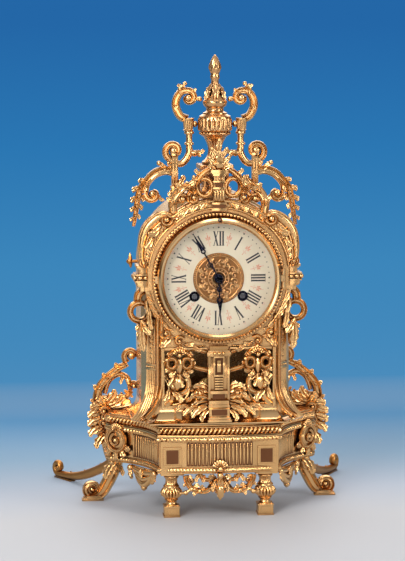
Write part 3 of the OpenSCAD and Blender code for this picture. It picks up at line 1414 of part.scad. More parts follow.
module bell_stand() color(steel) {
  arm_d = pendulum_d + 2.2;
  apex = bell_rim_d + bell_depth;
  v = stand_at - bell_at;
  rod(stand_at, 2, train_end_d, arm_d + 2);
  slab(arm_d, arm_d + 2) translate([bell_at[0], bell_at[1]]) rotate(atan2(v[1], v[0]))
    translate([0, -2]) square([norm(v), 4]);
  rod(bell_at, 2.6, arm_d, apex - 1.6);
  rod(bell_at, 1.5, apex - 2, apex + 1.6);
  rod(bell_at, 3, apex, apex + 1.8);
}

module hammer() color(steel) {
  // Arbor with its tail by the pin wheel, and the head outside the back plate
  v = pin_at - hammer_at;
  tail = norm(v) - 8.4 - 1.1;
  head = [-bell_r - 3.4, bell_at[1] + 3];
  w = head - hammer_at;
  arbor(hammer_at, 0.9);
  rod(hammer_at, 0.9, train_end_d + 0.3, bell_rim_d + 3);
  rod(hammer_at, pivot_r, train_end_d - 1, train_end_d + 1);
  slab(drum_d + 2, drum_d + 3) translate([hammer_at[0], hammer_at[1]]) rotate(atan2(v[1], v[0]))
    translate([0, -0.8]) square([tail, 1.6]);
  slab(bell_rim_d + 1, bell_rim_d + 2.6) translate([hammer_at[0], hammer_at[1]]) rotate(atan2(w[1], w[0]))
    translate([0, -0.8]) square([norm(w), 1.6]);
  rod(head, 2.2, bell_rim_d - 0.6, bell_rim_d + 4);
}

/* ---------- back of the case ---------- */

door_d = case_back_d + back_t + 1.6;
door_r = rear_open_r + 3;
door_hinge_x = -(door_r + 2);
door_hinge_d = door_d + 0.8;

module rear_ring() color(brass) {
  back = case_back_d + back_t;
  turned([[rear_open_r - 2, case_back_d], [rear_open_r - 0.2, case_back_d], [rear_open_r - 0.2, back],
      [door_r, back], [door_r, door_d - 0.4], [rear_open_r - 2, door_d - 0.4]]);
  for (z0 = [-knuckle * 1.5, knuckle / 2 + 0.3]) {
    hinge_cylinder(z0, knuckle - 0.3, hinge_r, door_hinge_x, door_hinge_d);
    translate([door_hinge_x, dial_y + back, dial_z + z0]) cube([3.4, door_hinge_d - back, knuckle - 0.3]);
  }
  hinge_cylinder(-knuckle * 1.5 - 1, 3 * knuckle + 2, hinge_pin_r, door_hinge_x, door_hinge_d);
}

module rear_door() color(brass) {
  t = 1.4;
  difference() {
    union() {
      difference() {
        turned([[0, door_d], [door_r, door_d], [door_r, door_d + t], [door_r - 3, door_d + t + 0.8],
            [door_r - 6, door_d + t], [0, door_d + t]]);
        for (z0 = [-knuckle * 1.5 - 0.6, knuckle / 2])
          translate([door_hinge_x - 4, dial_y + door_d - 1, dial_z + z0]) cube([8, 6, knuckle + 0.6]);
      }
      hinge_cylinder(-knuckle / 2, knuckle, hinge_r, door_hinge_x, door_hinge_d);
      translate([door_hinge_x, dial_y + door_d, dial_z - knuckle / 2]) cube([4, t, knuckle]);
      // Turn knob
      turned([[0, door_d + t - 0.2], [1.6, door_d + t - 0.2], [1.6, door_d + t + 2], [3, door_d + t + 3.6],
          [2.4, door_d + t + 5.2], [0, door_d + t + 5.6]], [door_r - 9, 0]);
    }
    hinge_cylinder(-knuckle / 2 - 1, knuckle + 2, hinge_pin_r + run, door_hinge_x, door_hinge_d);
    // Sound slots round the bell
    slab(door_d - 1, door_d + t + 2) for (a = [0:30:330]) rotate(a + 15)
      translate([20, -1.4]) square([12, 2.8]);
  }
}

module movement_straps() color(brass) {
  // Two straps that draw the bezel seat and the rear ring together through the case
  seat_back = panel_d + panel_t + 2;
  r = seat_in_r - 1 + 0.4;
  for (side = [-1, 1]) {
    slab(seat_back, case_back_d) rotate(side > 0 ? 0 : 180) translate([rear_open_r - 1.7, -4])
        square([1.4, 8]);
    slab(seat_back, seat_back + 1.2) rotate(side > 0 ? 0 : 180) translate([r - 1, -4]) square([3, 8]);
  }
}

base_plinth();
base_cornice();
case_skirt();
front_feet();
corner_feet();
rear_feet();
front_apron();
side_aprons();
side_bracket_left();
side_bracket_right();
front_panel();
front_ornament();
case_hood();
case_back();
shoulder_left();
shoulder_right();
crest_centre();
crest_left();
crest_right();
urn_pedestal();
urn_body();
urn_lid();
urn_handles();
bead_ring();
bezel_seat();
bezel();
bezel_glass();
dial_plate();
chapter_ring();
dial_centre();
minute_hand();
hour_hand();
hand_nut();
hour_wheel();
minute_wheel();
front_plate();
back_plate();
centre_wheel();
intermediate_wheel();
going_barrel();
going_arbor();
third_wheel();
escape_wheel();
anchor();
suspension_cock();
pendulum();
strike_barrel();
strike_arbor();
strike_second_wheel();
count_wheel();
pin_wheel();
warning_wheel();
fly();
hammer();
bell();
bell_stand();
regulator_arbor();
rear_ring();
rear_door();
movement_straps();
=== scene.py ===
"""Gilt rococo mantel clock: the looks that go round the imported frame.

Lengths are in millimetres until a mesh is made, and angles are in degrees. Castings are drawn as seen from
the front: x to the right, z up and `out` towards the viewer, on a plane that stands at a depth. Depths are
counted backwards from the front plane of the dial.
"""

import json
import math

import bmesh
import bpy
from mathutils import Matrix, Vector


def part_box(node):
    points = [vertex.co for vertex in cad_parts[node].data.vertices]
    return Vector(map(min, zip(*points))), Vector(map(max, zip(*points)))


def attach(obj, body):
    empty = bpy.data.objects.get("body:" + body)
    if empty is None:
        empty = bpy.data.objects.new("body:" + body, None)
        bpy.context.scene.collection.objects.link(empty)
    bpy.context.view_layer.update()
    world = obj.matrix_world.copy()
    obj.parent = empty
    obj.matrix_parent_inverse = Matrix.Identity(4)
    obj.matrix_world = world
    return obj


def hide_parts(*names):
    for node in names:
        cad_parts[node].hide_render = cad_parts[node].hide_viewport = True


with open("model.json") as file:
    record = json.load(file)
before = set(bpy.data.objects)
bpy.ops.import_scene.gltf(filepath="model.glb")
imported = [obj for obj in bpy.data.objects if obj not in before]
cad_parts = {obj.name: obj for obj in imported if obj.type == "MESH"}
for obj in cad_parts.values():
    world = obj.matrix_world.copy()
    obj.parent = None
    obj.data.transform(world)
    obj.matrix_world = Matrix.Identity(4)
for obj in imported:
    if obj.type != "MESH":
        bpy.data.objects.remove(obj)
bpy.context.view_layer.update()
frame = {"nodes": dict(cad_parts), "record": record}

MM = 0.001


def box_mm(node):
    """A CAD node's corners in millimetres."""
    low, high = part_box(node)
    return [c / MM for c in low], [c / MM for c in high]


# ---------------------------------------------------------------- places taken from the frame

PLINTH_LOW, PLINTH_HIGH = box_mm("base_plinth")
CORNICE_LOW, CORNICE_HIGH = box_mm("base_cornice")
SKIRT_LOW, SKIRT_HIGH = box_mm("case_skirt")
CHAPTER_LOW, CHAPTER_HIGH = box_mm("chapter_ring")
URN_LOW, URN_HIGH = box_mm("urn_body")
HOOD_HIGH = box_mm("case_hood")[1]
PANEL_HIGH = box_mm("front_panel")[1]

PANEL_T = 4.0
PANEL_D = 8.0  # depth of the front panel's face
DIAL_Y = PANEL_HIGH[1] - PANEL_T - PANEL_D  # row Y of depth 0
DIAL_Z = (CHAPTER_LOW[2] + CHAPTER_HIGH[2]) / 2
BEAD_R = box_mm("bead_ring")[1][0]
PANEL_R = PANEL_HIGH[0]
HOOD_R = HOOD_HIGH[0]
HOOD_TOP = HOOD_HIGH[2]
CASE_BACK_D = box_mm("case_back")[1][1] - DIAL_Y
BASE_Z = PLINTH_LOW[2]
CORNICE_Z = CORNICE_LOW[2]
SKIRT_Z = SKIRT_LOW[2]
CASE_Z = SKIRT_HIGH[2]
URN_Z = URN_LOW[2]
URN_D = (URN_LOW[1] + URN_HIGH[1]) / 2 - DIAL_Y
URN_R = URN_HIGH[0]
LID_Z = box_mm("urn_lid")[0][2]
PEDESTAL_HALF_W = box_mm("urn_pedestal")[1][0]
BASE_HALF_W = PLINTH_HIGH[0] - 1
BASE_BACK_D = PLINTH_HIGH[1] - 1 - DIAL_Y
REAR_FOOT_D = box_mm("rear_feet")[1][1] - DIAL_Y  # depth of the rear feet's tips


# ---------------------------------------------------------------- curves


def cosd(a):
    return math.cos(math.radians(a))


def sind(a):
    return math.sin(math.radians(a))


def mix(a, b, t):
    return a + (b - a) * t


def point(p):
    """A point of two or three numbers as a vector; the third is how far it stands out."""
    return Vector((p[0], p[1], p[2] if len(p) > 2 else 0.0))


def smooth(points, steps=6):
    """A Catmull-Rom curve through the points."""
    p = [point(q) for q in points]
    out = []
    for i in range(len(p) - 1):
        a, b, c, d = p[max(i - 1, 0)], p[i], p[i + 1], p[min(i + 2, len(p) - 1)]
        for j in range(steps):
            t = j / steps
            square = (2 * a - 5 * b + 4 * c - d) * t * t
            out.append(0.5 * (2 * b + (c - a) * t + square + (3 * b - a - 3 * c + d) * t**3))
    return out + [p[-1]]


def spiral(c, r0, r1, a0, a1, steps=None, out0=0.0, out1=0.0):
    """Points round c from radius r0 to r1 and from angle a0 to a1."""
    steps = steps or max(8, int(abs(a1 - a0) / 14))
    shares = [i / steps for i in range(steps + 1)]
    return [Vector((*polar(mix(r0, r1, t), mix(a0, a1, t), c), mix(out0, out1, t))) for t in shares]


def oval(rx, rz, c=(0.0, 0.0), out=0.0, a0=0, a1=360, step=12):
    """Points of an oval from angle a0 to a1."""
    return [Vector((c[0] + rx * cosd(a), c[1] + rz * sind(a), out)) for a in range(a0, a1 + 1, step)]


def polar(r, a, c=(0.0, 0.0)):
    return (c[0] + r * cosd(a), c[1] + r * sind(a))


def beside(path, i, side, along, off):
    """A point near a path's point i: along the path, and off it to one side."""
    v = (path[i + 1] - path[i - 1]).normalized()
    return path[i] + Vector((-v.y, v.x, 0)) * (side * off) + v * along


def table(stops, u):
    """The value at u between (u, value) stops."""
    for (u0, v0), (u1, v1) in zip(stops, stops[1:]):
        if u <= u1:
            return mix(v0, v1, (u - u0) / (u1 - u0))
    return stops[-1][1]


# ---------------------------------------------------------------- solids, as (points, faces)

# Sections of bars, as (across, out) from -1 to 1
ROUND = [(cosd(a), sind(a)) for a in range(0, 360, 36)]
OVAL = [(cosd(a), sind(a)) for a in range(0, 360, 24)]
# Two raised rims with a hollow between them, flat at the back
RIDGED = [(-1, -0.1), (-0.93, 0.5), (-0.72, 0.95), (-0.5, 0.72), (-0.25, 0.3), (0.25, 0.3), (0.5, 0.72),
    (0.72, 0.95), (0.93, 0.5), (1, -0.1), (0.72, -0.8), (-0.72, -0.8)]
# One raised rim outside a sloping leaf-like face
CRESTED = [(-1, 0.0), (-0.8, 0.9), (-0.55, 0.95), (-0.35, 0.45), (0.2, 0.25), (0.75, 0.1), (1, -0.2),
    (0.6, -0.8), (-0.7, -0.8)]
STOUT = 1.22  # how much fuller a cast bar is than its drawn width


def quads(n, m, wrap_n=False, wrap_m=True):
    """Faces between n rows of m points; a wrap joins the last row or point to the first."""
    return [(i * m + k, i * m + (k + 1) % m, (i + 1) % n * m + (k + 1) % m, (i + 1) % n * m + k)
        for i in range(n if wrap_n else n - 1) for k in range(m if wrap_m else m - 1)]


def sweep(path, width, thick, section=RIDGED):
    """A bar along path. width and thick are (start, end) or (start, middle, end)."""
    full = STOUT if section in (RIDGED, CRESTED) else 1.0

    def along(w, t):
        if len(w) == 2:
            return mix(w[0], w[1], t)
        return mix(w[0], w[1], t * 2) if t < 0.5 else mix(w[1], w[2], t * 2 - 1)

    n, m = len(path), len(section)
    pts = []
    for i, p in enumerate(path):
        t = i / (n - 1)
        tangent = (path[min(i + 1, n - 1)] - path[max(i - 1, 0)]).normalized()
        side = Vector((-tangent.y, tangent.x, 0)).normalized()
        front = tangent.cross(side)
        w, h = along(width, t) / 2 * full, along(thick, t) / 2
        pts += [p + side * (u * w) + front * (v * h) for u, v in section]
    return pts, quads(n, m) + [tuple(range(m)), tuple((n - 1) * m + k for k in range(m))]


def pod(p, q, r0, r1, rings=8, sides=12, flutes=0):
    """A closed pod from p to q, r0 fat in its first half and r1 in its second, with optional flutes."""
    p, q = point(p), point(q)
    axis = (q - p).normalized()
    a = axis.orthogonal().normalized()
    b = axis.cross(a)
    pts = [p]
    for i in range(1, rings):
        t = i / rings
        r = mix(r0, r1, t) * math.sin(math.pi * t) ** 0.62
        for k in range(sides):
            ang = 2 * math.pi * k / sides
            rr = r * (1 + (0.1 * math.cos(flutes * ang) if flutes else 0))
            pts.append(p.lerp(q, t) + a * (rr * math.cos(ang)) + b * (rr * math.sin(ang)))
    pts.append(q)
    faces = [(0, 1 + (k + 1) % sides, 1 + k) for k in range(sides)]
    faces += [tuple(1 + v for v in f) for f in quads(rings - 1, sides)]
    o = 1 + (rings - 2) * sides
    faces += [(o + k, o + (k + 1) % sides, len(pts) - 1) for k in range(sides)]
    return pts, faces


def ball(c, r, squash=1.0, rings=7, sides=12):
    """A ball, or with squash under 1 a flattened one."""
    half = Vector((0, 0, r * squash))
    return pod(point(c) - half, point(c) + half, r, r, rings, sides)


def grid_solid(front, back, rows, cols):
    """A closed sheet from two grids of rows x cols points."""
    n = rows * cols
    faces = []
    for a, b, c, d in quads(rows, cols, wrap_m=False):
        faces += [(a, b, c, d), (n + a, n + d, n + c, n + b)]
    rim = [j for j in range(cols)] + [i * cols + cols - 1 for i in range(1, rows)]
    rim += [(rows - 1) * cols + j for j in range(cols - 2, -1, -1)] + [i * cols
        for i in range(rows - 2, 0, -1)]
    for a, b in zip(rim, rim[1:] + rim[:1]):
        faces.append((a, a + n, b + n, b))
    return front + back, faces


def acanthus(base, tip, width, bend=0.0, lift=1.5, lobes=3, out=0.0, thick=1.2):
    """A lobed leaf from base to tip with a rib, hollow lobes and a tip that rolls forward by lift."""
    rows, cols = 5 * lobes, 9
    b, t = Vector(base[:2]), Vector(tip[:2])
    axis = t - b
    u = axis / axis.length
    n = Vector((-u.y, u.x))
    front, back = [], []
    for i in range(rows):
        s = i / (rows - 1)
        lobe = 0.5 - 0.5 * math.cos(2 * math.pi * lobes * s)
        full = max(0.12, width / 2 * math.sin(math.pi * min(1, 0.1 + 0.9 * s)) ** 0.55)
        half = full * (0.66 + 0.34 * lobe)
        mid = b + axis * s + n * (bend * math.sin(math.pi * s))
        rise = out + lift * s * s
        for j in range(cols):
            q = -1 + 2 * j / (cols - 1)
            p = mid + n * (q * half) + u * (abs(q) * half * 0.45)
            rib = math.exp(-((q / 0.2) ** 2))
            rim = math.exp(-(((abs(q) - 0.75) / 0.22) ** 2))
            relief = full * (0.1 + 0.34 * rib + (0.14 + 0.2 * lobe) * rim) * (0.35 + 0.65 * (1 - s * s))
            front.append(Vector((p.x, p.y, rise + relief)))
            back.append(Vector((p.x, p.y, rise - thick * 0.5)))
    return grid_solid(front, back, rows, cols)


def shell(c, r, a0, a1, ribs=9, height=2.0, out=0.0, thick=1.4):
    """A fan of ribs round c from angle a0 to a1, scalloped at its rim."""
    rows, cols = 8, ribs * 6 + 1
    front, back = [], []
    for i in range(rows):
        s = i / (rows - 1)
        for j in range(cols):
            f = j / (cols - 1)
            wave = abs(math.sin(math.pi * ribs * f))
            rr = r * (0.12 + 0.88 * s) * (1 + 0.1 * s * (wave - 0.5))
            x, z = polar(rr, mix(a0, a1, f), c)
            rise = out + height * math.sin(math.pi * (0.12 + 0.8 * s)) * (0.55 + 0.45 * wave)
            front.append(Vector((x, z, rise)))
            back.append(Vector((x, z, out - thick)))
    return grid_solid(front, back, rows, cols)


def plate(outline, thick, out=0.0, bevel=0.0):
    """A flat plate with the given closed outline; its face stands at out and may be bevelled."""
    n = len(outline)
    centre = Vector((sum(p[0] for p in outline) / n, sum(p[1] for p in outline) / n))

    def ring(inset, o):
        pts = []
        for p in outline:
            v = Vector(p[:2]) - centre
            pts.append(Vector((*(centre + v * max(0.0, 1 - inset / max(v.length, 1e-6))), o)))
        return pts

    rings = [ring(0, out - thick), ring(0, out - bevel)]
    if bevel:
        rings.append(ring(bevel, out))
    faces = [tuple(range(n)), tuple((len(rings) - 1) * n + k for k in range(n))]
    return [p for r in rings for p in r], faces + quads(len(rings), n)


def block(x0, x1, z0, z1, thick, out=0.0, bevel=0.3):
    return plate([(x0, z0), (x1, z0), (x1, z1), (x0, z1)], thick, out, bevel)


def slab(half, z0, z1, thick, out=0.0, bevel=0.3):
    """A block that is centred on the drawing's axis."""
    return block(-half, half, z0, z1, thick, out, bevel)


def turned(profile, sides=48, wave=None, x=0.0):
    """A body turned about the upright axis at x from (radius, height) points. wave(angle, height) scales
    its radius. Its third axis is `out`, so a placed plane keeps it upright."""
    m = len(profile)
    pts = []
    for k in range(sides):
        a = 2 * math.pi * k / sides
        for r, z in profile:
            rr = r * (wave(a, z) if wave else 1)
            pts.append(Vector((x + rr * math.cos(a), z, rr * math.sin(a))))
    faces = [(a, d, c, b) for a, b, c, d in quads(sides, m, wrap_n=True, wrap_m=False)]
    faces += [tuple(k * m for k in range(sides)), tuple(k * m + m - 1 for k in range(sides))]
    return pts, faces


# ---------------------------------------------------------------- castings


class Plane:
    """A drawing plane whose origin is at (x, z) and a depth, turned about the upright axis."""

    def __init__(self, d=0.0, x=0.0, turn=0.0, z=0.0):
        self.x, self.d, self.z = x, d, z
        self.c, self.s = cosd(turn), sind(turn)

    def __call__(self, p):
        x = self.x + p[0] * self.c + p[2] * self.s
        d = self.d + p[0] * self.s - p[2] * self.c
        return Vector((x, DIAL_Y + d, self.z + p[1])) * MM


class Casting:
    """Collects solids and makes one mesh piece of them."""

    def __init__(self, plane=None):
        self.plane = plane or Plane()
        self.points, self.faces = [], []

    def add(self, solid, plane=None):
        place = plane or self.plane
        self.take([place(p) for p in solid[0]], solid[1])

    def take(self, points, faces, mirror=False):
        start = len(self.points)
        self.points += [Vector((-q.x, q.y, q.z)) for q in points] if mirror else points
        self.faces += [tuple(start + i for i in (reversed(f) if mirror else f)) for f in faces]

    def both(self, half):
        """Adds the solids of a casting of the right half, and their mirror images."""
        self.take(half.points, half.faces)
        self.take(half.points, half.faces, mirror=True)

    def leaves(self, rows, *shape, plane=None):
        """Leaves from rows of (base, tip, width, bend); shape is the rest of what acanthus takes."""
        for row in rows:
            self.add(acanthus(*row, *shape), plane)

    def slabs(self, rows, bevel, plane=None):
        """Slabs from rows of (half width, low, high, thickness, out)."""
        for row in rows:
            self.add(slab(*row, bevel), plane)

    def piece(self, name, material, body="case", slot="gilt_brass", replaces=(), angle=38, mirrored=False):
        mesh = bpy.data.meshes.new(name)
        pts = [(-p.x, p.y, p.z) for p in self.points] if mirrored else [tuple(p) for p in self.points]
        faces = [tuple(reversed(f)) for f in self.faces] if mirrored else self.faces
        mesh.from_pydata(pts, [], faces)
        mesh.validate()
        bm = bmesh.new()
        bm.from_mesh(mesh)
        bmesh.ops.recalc_face_normals(bm, faces=bm.faces)
        bm.to_mesh(mesh)
        bm.free()
        mesh.shade_smooth()
        mesh.set_sharp_from_angle(angle=math.radians(angle))
        mesh.materials.append(material)
        obj = bpy.data.objects.new(name, mesh)
        bpy.context.collection.objects.link(obj)
        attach(obj, body)
        if replaces:
            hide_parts(*replaces)
        return obj

    def two_pieces(self, name, material, replaces=(), angle=38):
        """A piece as drawn on the right, and its mirror image on the left; SIDE in a name is the side."""
        for side, mirrored in (("right", False), ("left", True)):
            nodes = [r.replace("SIDE", side) for r in replaces]
            self.piece(name.replace("SIDE", side), material, replaces=nodes, angle=angle, mirrored=mirrored)


# ---------------------------------------------------------------- materials


def shader(name, colour, metallic, roughness, ior=1.45):
    m = bpy.data.materials.new(name)
    m.use_nodes = True
    nodes = m.node_tree.nodes
    p = nodes["Principled BSDF"]
    p.inputs["Base Color"].default_value = (*colour, 1)
    p.inputs["Metallic"].default_value = metallic
    p.inputs["Roughness"].default_value = roughness
    p.inputs["IOR"].default_value = ior
    return m, nodes, m.node_tree.links, p


def add_noise(nodes, links, scale, detail=3.0, stretch=None):
    source = nodes.new("ShaderNodeTexCoord").outputs["Object"]
    n = nodes.new("ShaderNodeTexNoise")
    n.inputs["Scale"].default_value = scale
    n.inputs["Detail"].default_value = detail
    if stretch:
        mapping = nodes.new("ShaderNodeMapping")
        mapping.inputs["Scale"].default_value = stretch
        links.new(source, mapping.inputs["Vector"])
        source = mapping.outputs["Vector"]
    links.new(source, n.inputs["Vector"])
    return n.outputs["Fac"]


def add_ramp(nodes, links, value, stops):
    r = nodes.new("ShaderNodeValToRGB")
    el = r.color_ramp.elements
    while len(el) < len(stops):
        el.new(0.5)
    for e, (pos, c) in zip(el, stops):
        e.position = pos
        e.color = (*c, 1)
    links.new(value, r.inputs["Fac"])
    return r.outputs["Color"]


def add_range(nodes, links, value, **ends):
    """Maps a value between ends such as From_Min and To_Max."""
    r = nodes.new("ShaderNodeMapRange")
    for name, end in ends.items():
        r.inputs[name.replace("_", " ")].default_value = end
    links.new(value, r.inputs["Value"])
    return r.outputs["Result"]


def add_bump(nodes, links, height, strength, distance, p):
    b = nodes.new("ShaderNodeBump")
    b.inputs["Strength"].default_value = strength
    b.inputs["Distance"].default_value = distance * MM
    links.new(height, b.inputs["Height"])
    links.new(b.outputs["Normal"], p.inputs["Normal"])


def metal(name, bright, deep, roughness, reach=6.0, hollow=1.0, grain=260, bump=0.08, stretch=None,
        spread=0.08):
    """Cast or worked metal: painted shade (with some patina) darkens its hollows towards deep, with an
    uneven colour and polish and a fine skin.
    """
    m, nodes, links, p = shader(name, bright, 1.0, roughness)
    # Ambient occlusion mixes the colour towards deep in hollows, creases and under other parts: painted
    # shade, with some patina.
    ao = nodes.new("ShaderNodeAmbientOcclusion")
    ao.samples = 8
    ao.inputs["Distance"].default_value = reach * MM
    between = tuple(mix(d, b, 0.72) for d, b in zip(deep, bright))
    depth = add_ramp(nodes, links, ao.outputs["AO"], [(0.15, deep), (0.45 + 0.2 * hollow, between),
        (0.92, bright)])
    broad = add_noise(nodes, links, 38, 4)
    tone = add_ramp(nodes, links, broad, [(0.3, (0.84, 0.8, 0.74)), (0.7, (1, 1, 1))])
    both = nodes.new("ShaderNodeMix")
    both.data_type = "RGBA"
    both.blend_type = "MULTIPLY"
    both.inputs["Factor"].default_value = 0.8
    links.new(depth, both.inputs["A"])
    links.new(tone, both.inputs["B"])
    links.new(both.outputs["Result"], p.inputs["Base Color"])
    fine = add_noise(nodes, links, grain, 5, stretch)
    gloss = add_range(nodes, links, fine, To_Min=max(0.02, roughness - spread), To_Max=roughness + spread)
    links.new(gloss, p.inputs["Roughness"])
    add_bump(nodes, links, fine, bump, 0.4, p)
    return m


def coated(name, colour, shade, roughness, scale=60, coat=0.0):
    """Enamel or ink with faint mottling."""
    m, nodes, links, p = shader(name, colour, 0.0, roughness)
    p.inputs["Coat Weight"].default_value = coat
    p.inputs["Coat Roughness"].default_value = 0.08
    n = add_noise(nodes, links, scale, 4)
    links.new(add_ramp(nodes, links, n, [(0.3, shade), (0.7, colour)]), p.inputs["Base Color"])
    add_bump(nodes, links, add_noise(nodes, links, scale * 9), 0.02, 0.2, p)
    return m


def clear_glass(name):
    m, nodes, links, p = shader(name, (1, 1, 1), 0.0, 0.0, 1.12)
    p.inputs["Transmission Weight"].default_value = 1.0
    smear = add_range(nodes, links, add_noise(nodes, links, 30), To_Min=0.0, To_Max=0.05)
    links.new(smear, p.inputs["Roughness"])
    return m


GILT = metal("gilt_cast", (0.9, 0.545, 0.235), (0.17, 0.05, 0.018), 0.24)
GILT_SMOOTH = metal("gilt_polished", (0.92, 0.59, 0.28), (0.24, 0.08, 0.024), 0.17, 9, 0.6, 140, 0.03,
    spread=0.05)
# Shell gilt for the case's hood, back and the movement's plates: its near-black deep colour over a 75 mm
# reach paints the shade inside the case.
SHADED_GILT_SHELL = metal("gilt_shell_shaded", (0.92, 0.59, 0.28), (0.012, 0.005, 0.002), 0.26, 75, 1.0, 140, 0.03,
    spread=0.06)
# A darker copy of the gilt for parts at the back of the clock: painted shade.
BACK_SHADED_GILT = metal("gilt_back_shaded", (0.6, 0.27, 0.075), (0.1, 0.028, 0.008), 0.34)
# A darker, browner copy of the gilt for the urn and its pedestal, where less light reaches the top: painted
# shade.
URN_SHADED_GILT = metal("gilt_urn_shaded", (0.76, 0.43, 0.19), (0.09, 0.026, 0.01), 0.25)
# Dark brown ground of the dial's chased centre: painted shade between the relief, with some patina.
SHADED_GILT_GROUND = metal("gilt_ground_patina_and_shade", (0.36, 0.16, 0.055), (0.06, 0.02, 0.008), 0.4, hollow=0.8)
# Dark brown for sunk grounds and panels: painted shade, with some patina.
PATINA_AND_SHADE = metal("recess_patina_and_shade", (0.2, 0.085, 0.04), (0.045, 0.016, 0.008), 0.42, hollow=0.8)
BRASS = metal("movement_brass", (0.78, 0.5, 0.17), (0.24, 0.12, 0.03), 0.26, 4, 1.0, 900, 0.05,
    (1, 1, 0.06))
STEEL = metal("movement_steel", (0.55, 0.55, 0.56), (0.16, 0.15, 0.15), 0.28, 3, 1.0, 900, 0.05,
    (1, 0.05, 1))
DARK_STEEL = metal("dark_steel", (0.12, 0.12, 0.13), (0.03, 0.03, 0.03), 0.35, reach=3, grain=900)
BELL = metal("bell_bronze", (0.72, 0.48, 0.22), (0.25, 0.13, 0.05), 0.22, reach=5, grain=500)
BLUED = metal("blued_steel", (0.014, 0.015, 0.03), (0.004, 0.004, 0.008), 0.24, reach=2, grain=700,
    bump=0.03)
ENAMEL = coated("cream_enamel", (0.78, 0.7, 0.53), (0.71, 0.62, 0.45), 0.26, 45, coat=0.3)
INK = coated("black_figures", (0.012, 0.012, 0.016), (0.03, 0.028, 0.03), 0.32, 300)
ROSE = coated("rose_figures", (0.62, 0.2, 0.12), (0.72, 0.36, 0.24), 0.4, 300)
GLASS = clear_glass("dial_glass")

SLOT_MATERIAL = {"gilt_brass": GILT, "movement_brass": BRASS, "steel": STEEL, "blued_steel": BLUED,
    "enamel": ENAMEL, "glass": GLASS, "bell_metal": BELL}
# The case's back, hood and the movement's plates, straps and rear ring take the shell gilt with its painted
# shade.
NODE_MATERIAL = {"case_back": SHADED_GILT_SHELL, "front_plate": SHADED_GILT_SHELL, "back_plate": SHADED_GILT_SHELL,
    "rear_ring": SHADED_GILT_SHELL, "movement_straps": SHADED_GILT_SHELL, "case_hood": SHADED_GILT_SHELL, "bezel": GILT_SMOOTH,
    "bezel_seat": GILT_SMOOTH, "front_panel": GILT, "hand_nut": BLUED, "dial_centre": SHADED_GILT_GROUND,
    "going_arbor": DARK_STEEL, "strike_arbor": DARK_STEEL}


# ---------------------------------------------------------------- figures round the base


def bezier(a, b, c, n):
    return [tuple(mix(mix(a[j], b[j], t / n), mix(b[j], c[j], t / n), t / n) for j in (0, 1))
        for t in range(n + 1)]


BLOCK_D, BOW_RISE, BOW_W, JOG = 2.0, 5.0, 49.6, 6.0
BOSS = (71.0, 45.0)
CORNER_D = 60.0
FOOT_X, BLOCK_W, FOOT_W = 39.1, 19.0, 13.6
FOOT_D = BLOCK_D - 3 + BLOCK_W / 2
FRONT_W = 49.0
SEAT_GAP = 0.15
LEG_TOP = BASE_Z - SEAT_GAP
FRONT_DROP_D = -7.3  # depth of the front apron's boss
URN_SIDE_X = 22.0  # the handles' columns stand this far to each side
RING_X = 34.2  # and the crest's rings this far

BASE_HALF = bezier((0, BLOCK_D - BOW_RISE), (BOW_W * 0.55, BLOCK_D - BOW_RISE), (BOW_W, BLOCK_D), 12)
BASE_HALF += bezier((BOW_W, BLOCK_D + JOG), ((BOW_W + BOSS[0]) / 2 - 4, (BLOCK_D + BOSS[1]) / 2 + 9),
    BOSS, 12)
BASE_HALF += [(BASE_HALF_W - 2, CORNER_D - 2), (BASE_HALF_W, CORNER_D + 2),
    (BASE_HALF_W, BASE_BACK_D - 4), (BASE_HALF_W - 4, BASE_BACK_D)]
CASE_HALF = [(0, PANEL_D), (FRONT_W, PANEL_D), (FRONT_W, 12), (58, 23), (62, 31), (62, CASE_BACK_D)]


class Track:
    """A closed outline in plan from its right half, with an outward direction at each even sample."""

    def __init__(self, half, step=0.6):
        ring = [Vector(p) for p in list(half) + [(-x, d) for x, d in reversed(half) if x > 0]]
        after = ring[1:] + ring[:1]
        self.samples = []
        self.length = 0.0
        normals = []
        for a, b in zip(ring, after):
            v = (b - a).normalized()
            normals.append(Vector((v.y, -v.x)))
        for i, (a, b) in enumerate(zip(ring, after)):
            n1, n2 = normals[i - 1], normals[i]
            mitre = (n1 + n2) / max(0.35, 1 + n1.dot(n2))
            length = (b - a).length
            count = max(1, round(length / step))
            for k in range(count):
                t = k / count
                self.samples.append((a.lerp(b, t), n2 if k else mitre, self.length + length * t))
            self.length += length

    def ring(self, offset, z):
        """A ring of points; offset may be a function of the distance along the outline."""
        pts = []
        for p, m, s in self.samples:
            q = p + m * (offset(s) if callable(offset) else offset)
            pts.append(Vector((q.x, z, -q.y)))
        return pts

    def rings(self, *rows):
        """Rings from rows of (offset, height)."""
        return [self.ring(o, z) for o, z in rows]

    def hole(self, low, high, half_w, z):
        """As many points as a ring has, on the edge of a rectangular hole between two depths."""
        centre_d, half_d = (low + high) / 2, (high - low) / 2
        pts = []
        for p, _m, _s in self.samples:
            v = Vector((p.x, p.y - centre_d))
            k = min(half_w / max(abs(v.x), 1e-6), half_d / max(abs(v.y), 1e-6))
            pts.append(Vector((v.x * k, z, -(centre_d + v.y * k))))
        return pts


def ring_loft(rings):
    """A closed tube of rings, joined round like a frame."""
    return [p for r in rings for p in r], quads(len(rings), len(rings[0]), wrap_n=True)


BASE = Track(BASE_HALF)
CASE = Track(CASE_HALF)
SLOT = (30.0, 74.0, 40.0)  # depths and half width of the pendulum's slot
WELL = (14.0, 76.0, 45.0)  # and of the hollow in the skirt


# ---------------------------------------------------------------- ornament kit


def volute(cast, c, r0, r1, a0, a1, w, t, out=0.0, eye=1.15, rise=0.6, plane=None):
    """A scroll that winds in to an eye; w and t are (start, end)."""
    cast.add(sweep(spiral(c, r0, r1, a0, a1, out0=out, out1=out + rise), w, t), plane)
    cast.add(ball((c[0], c[1], out + rise), r1 * eye, 0.9), plane)


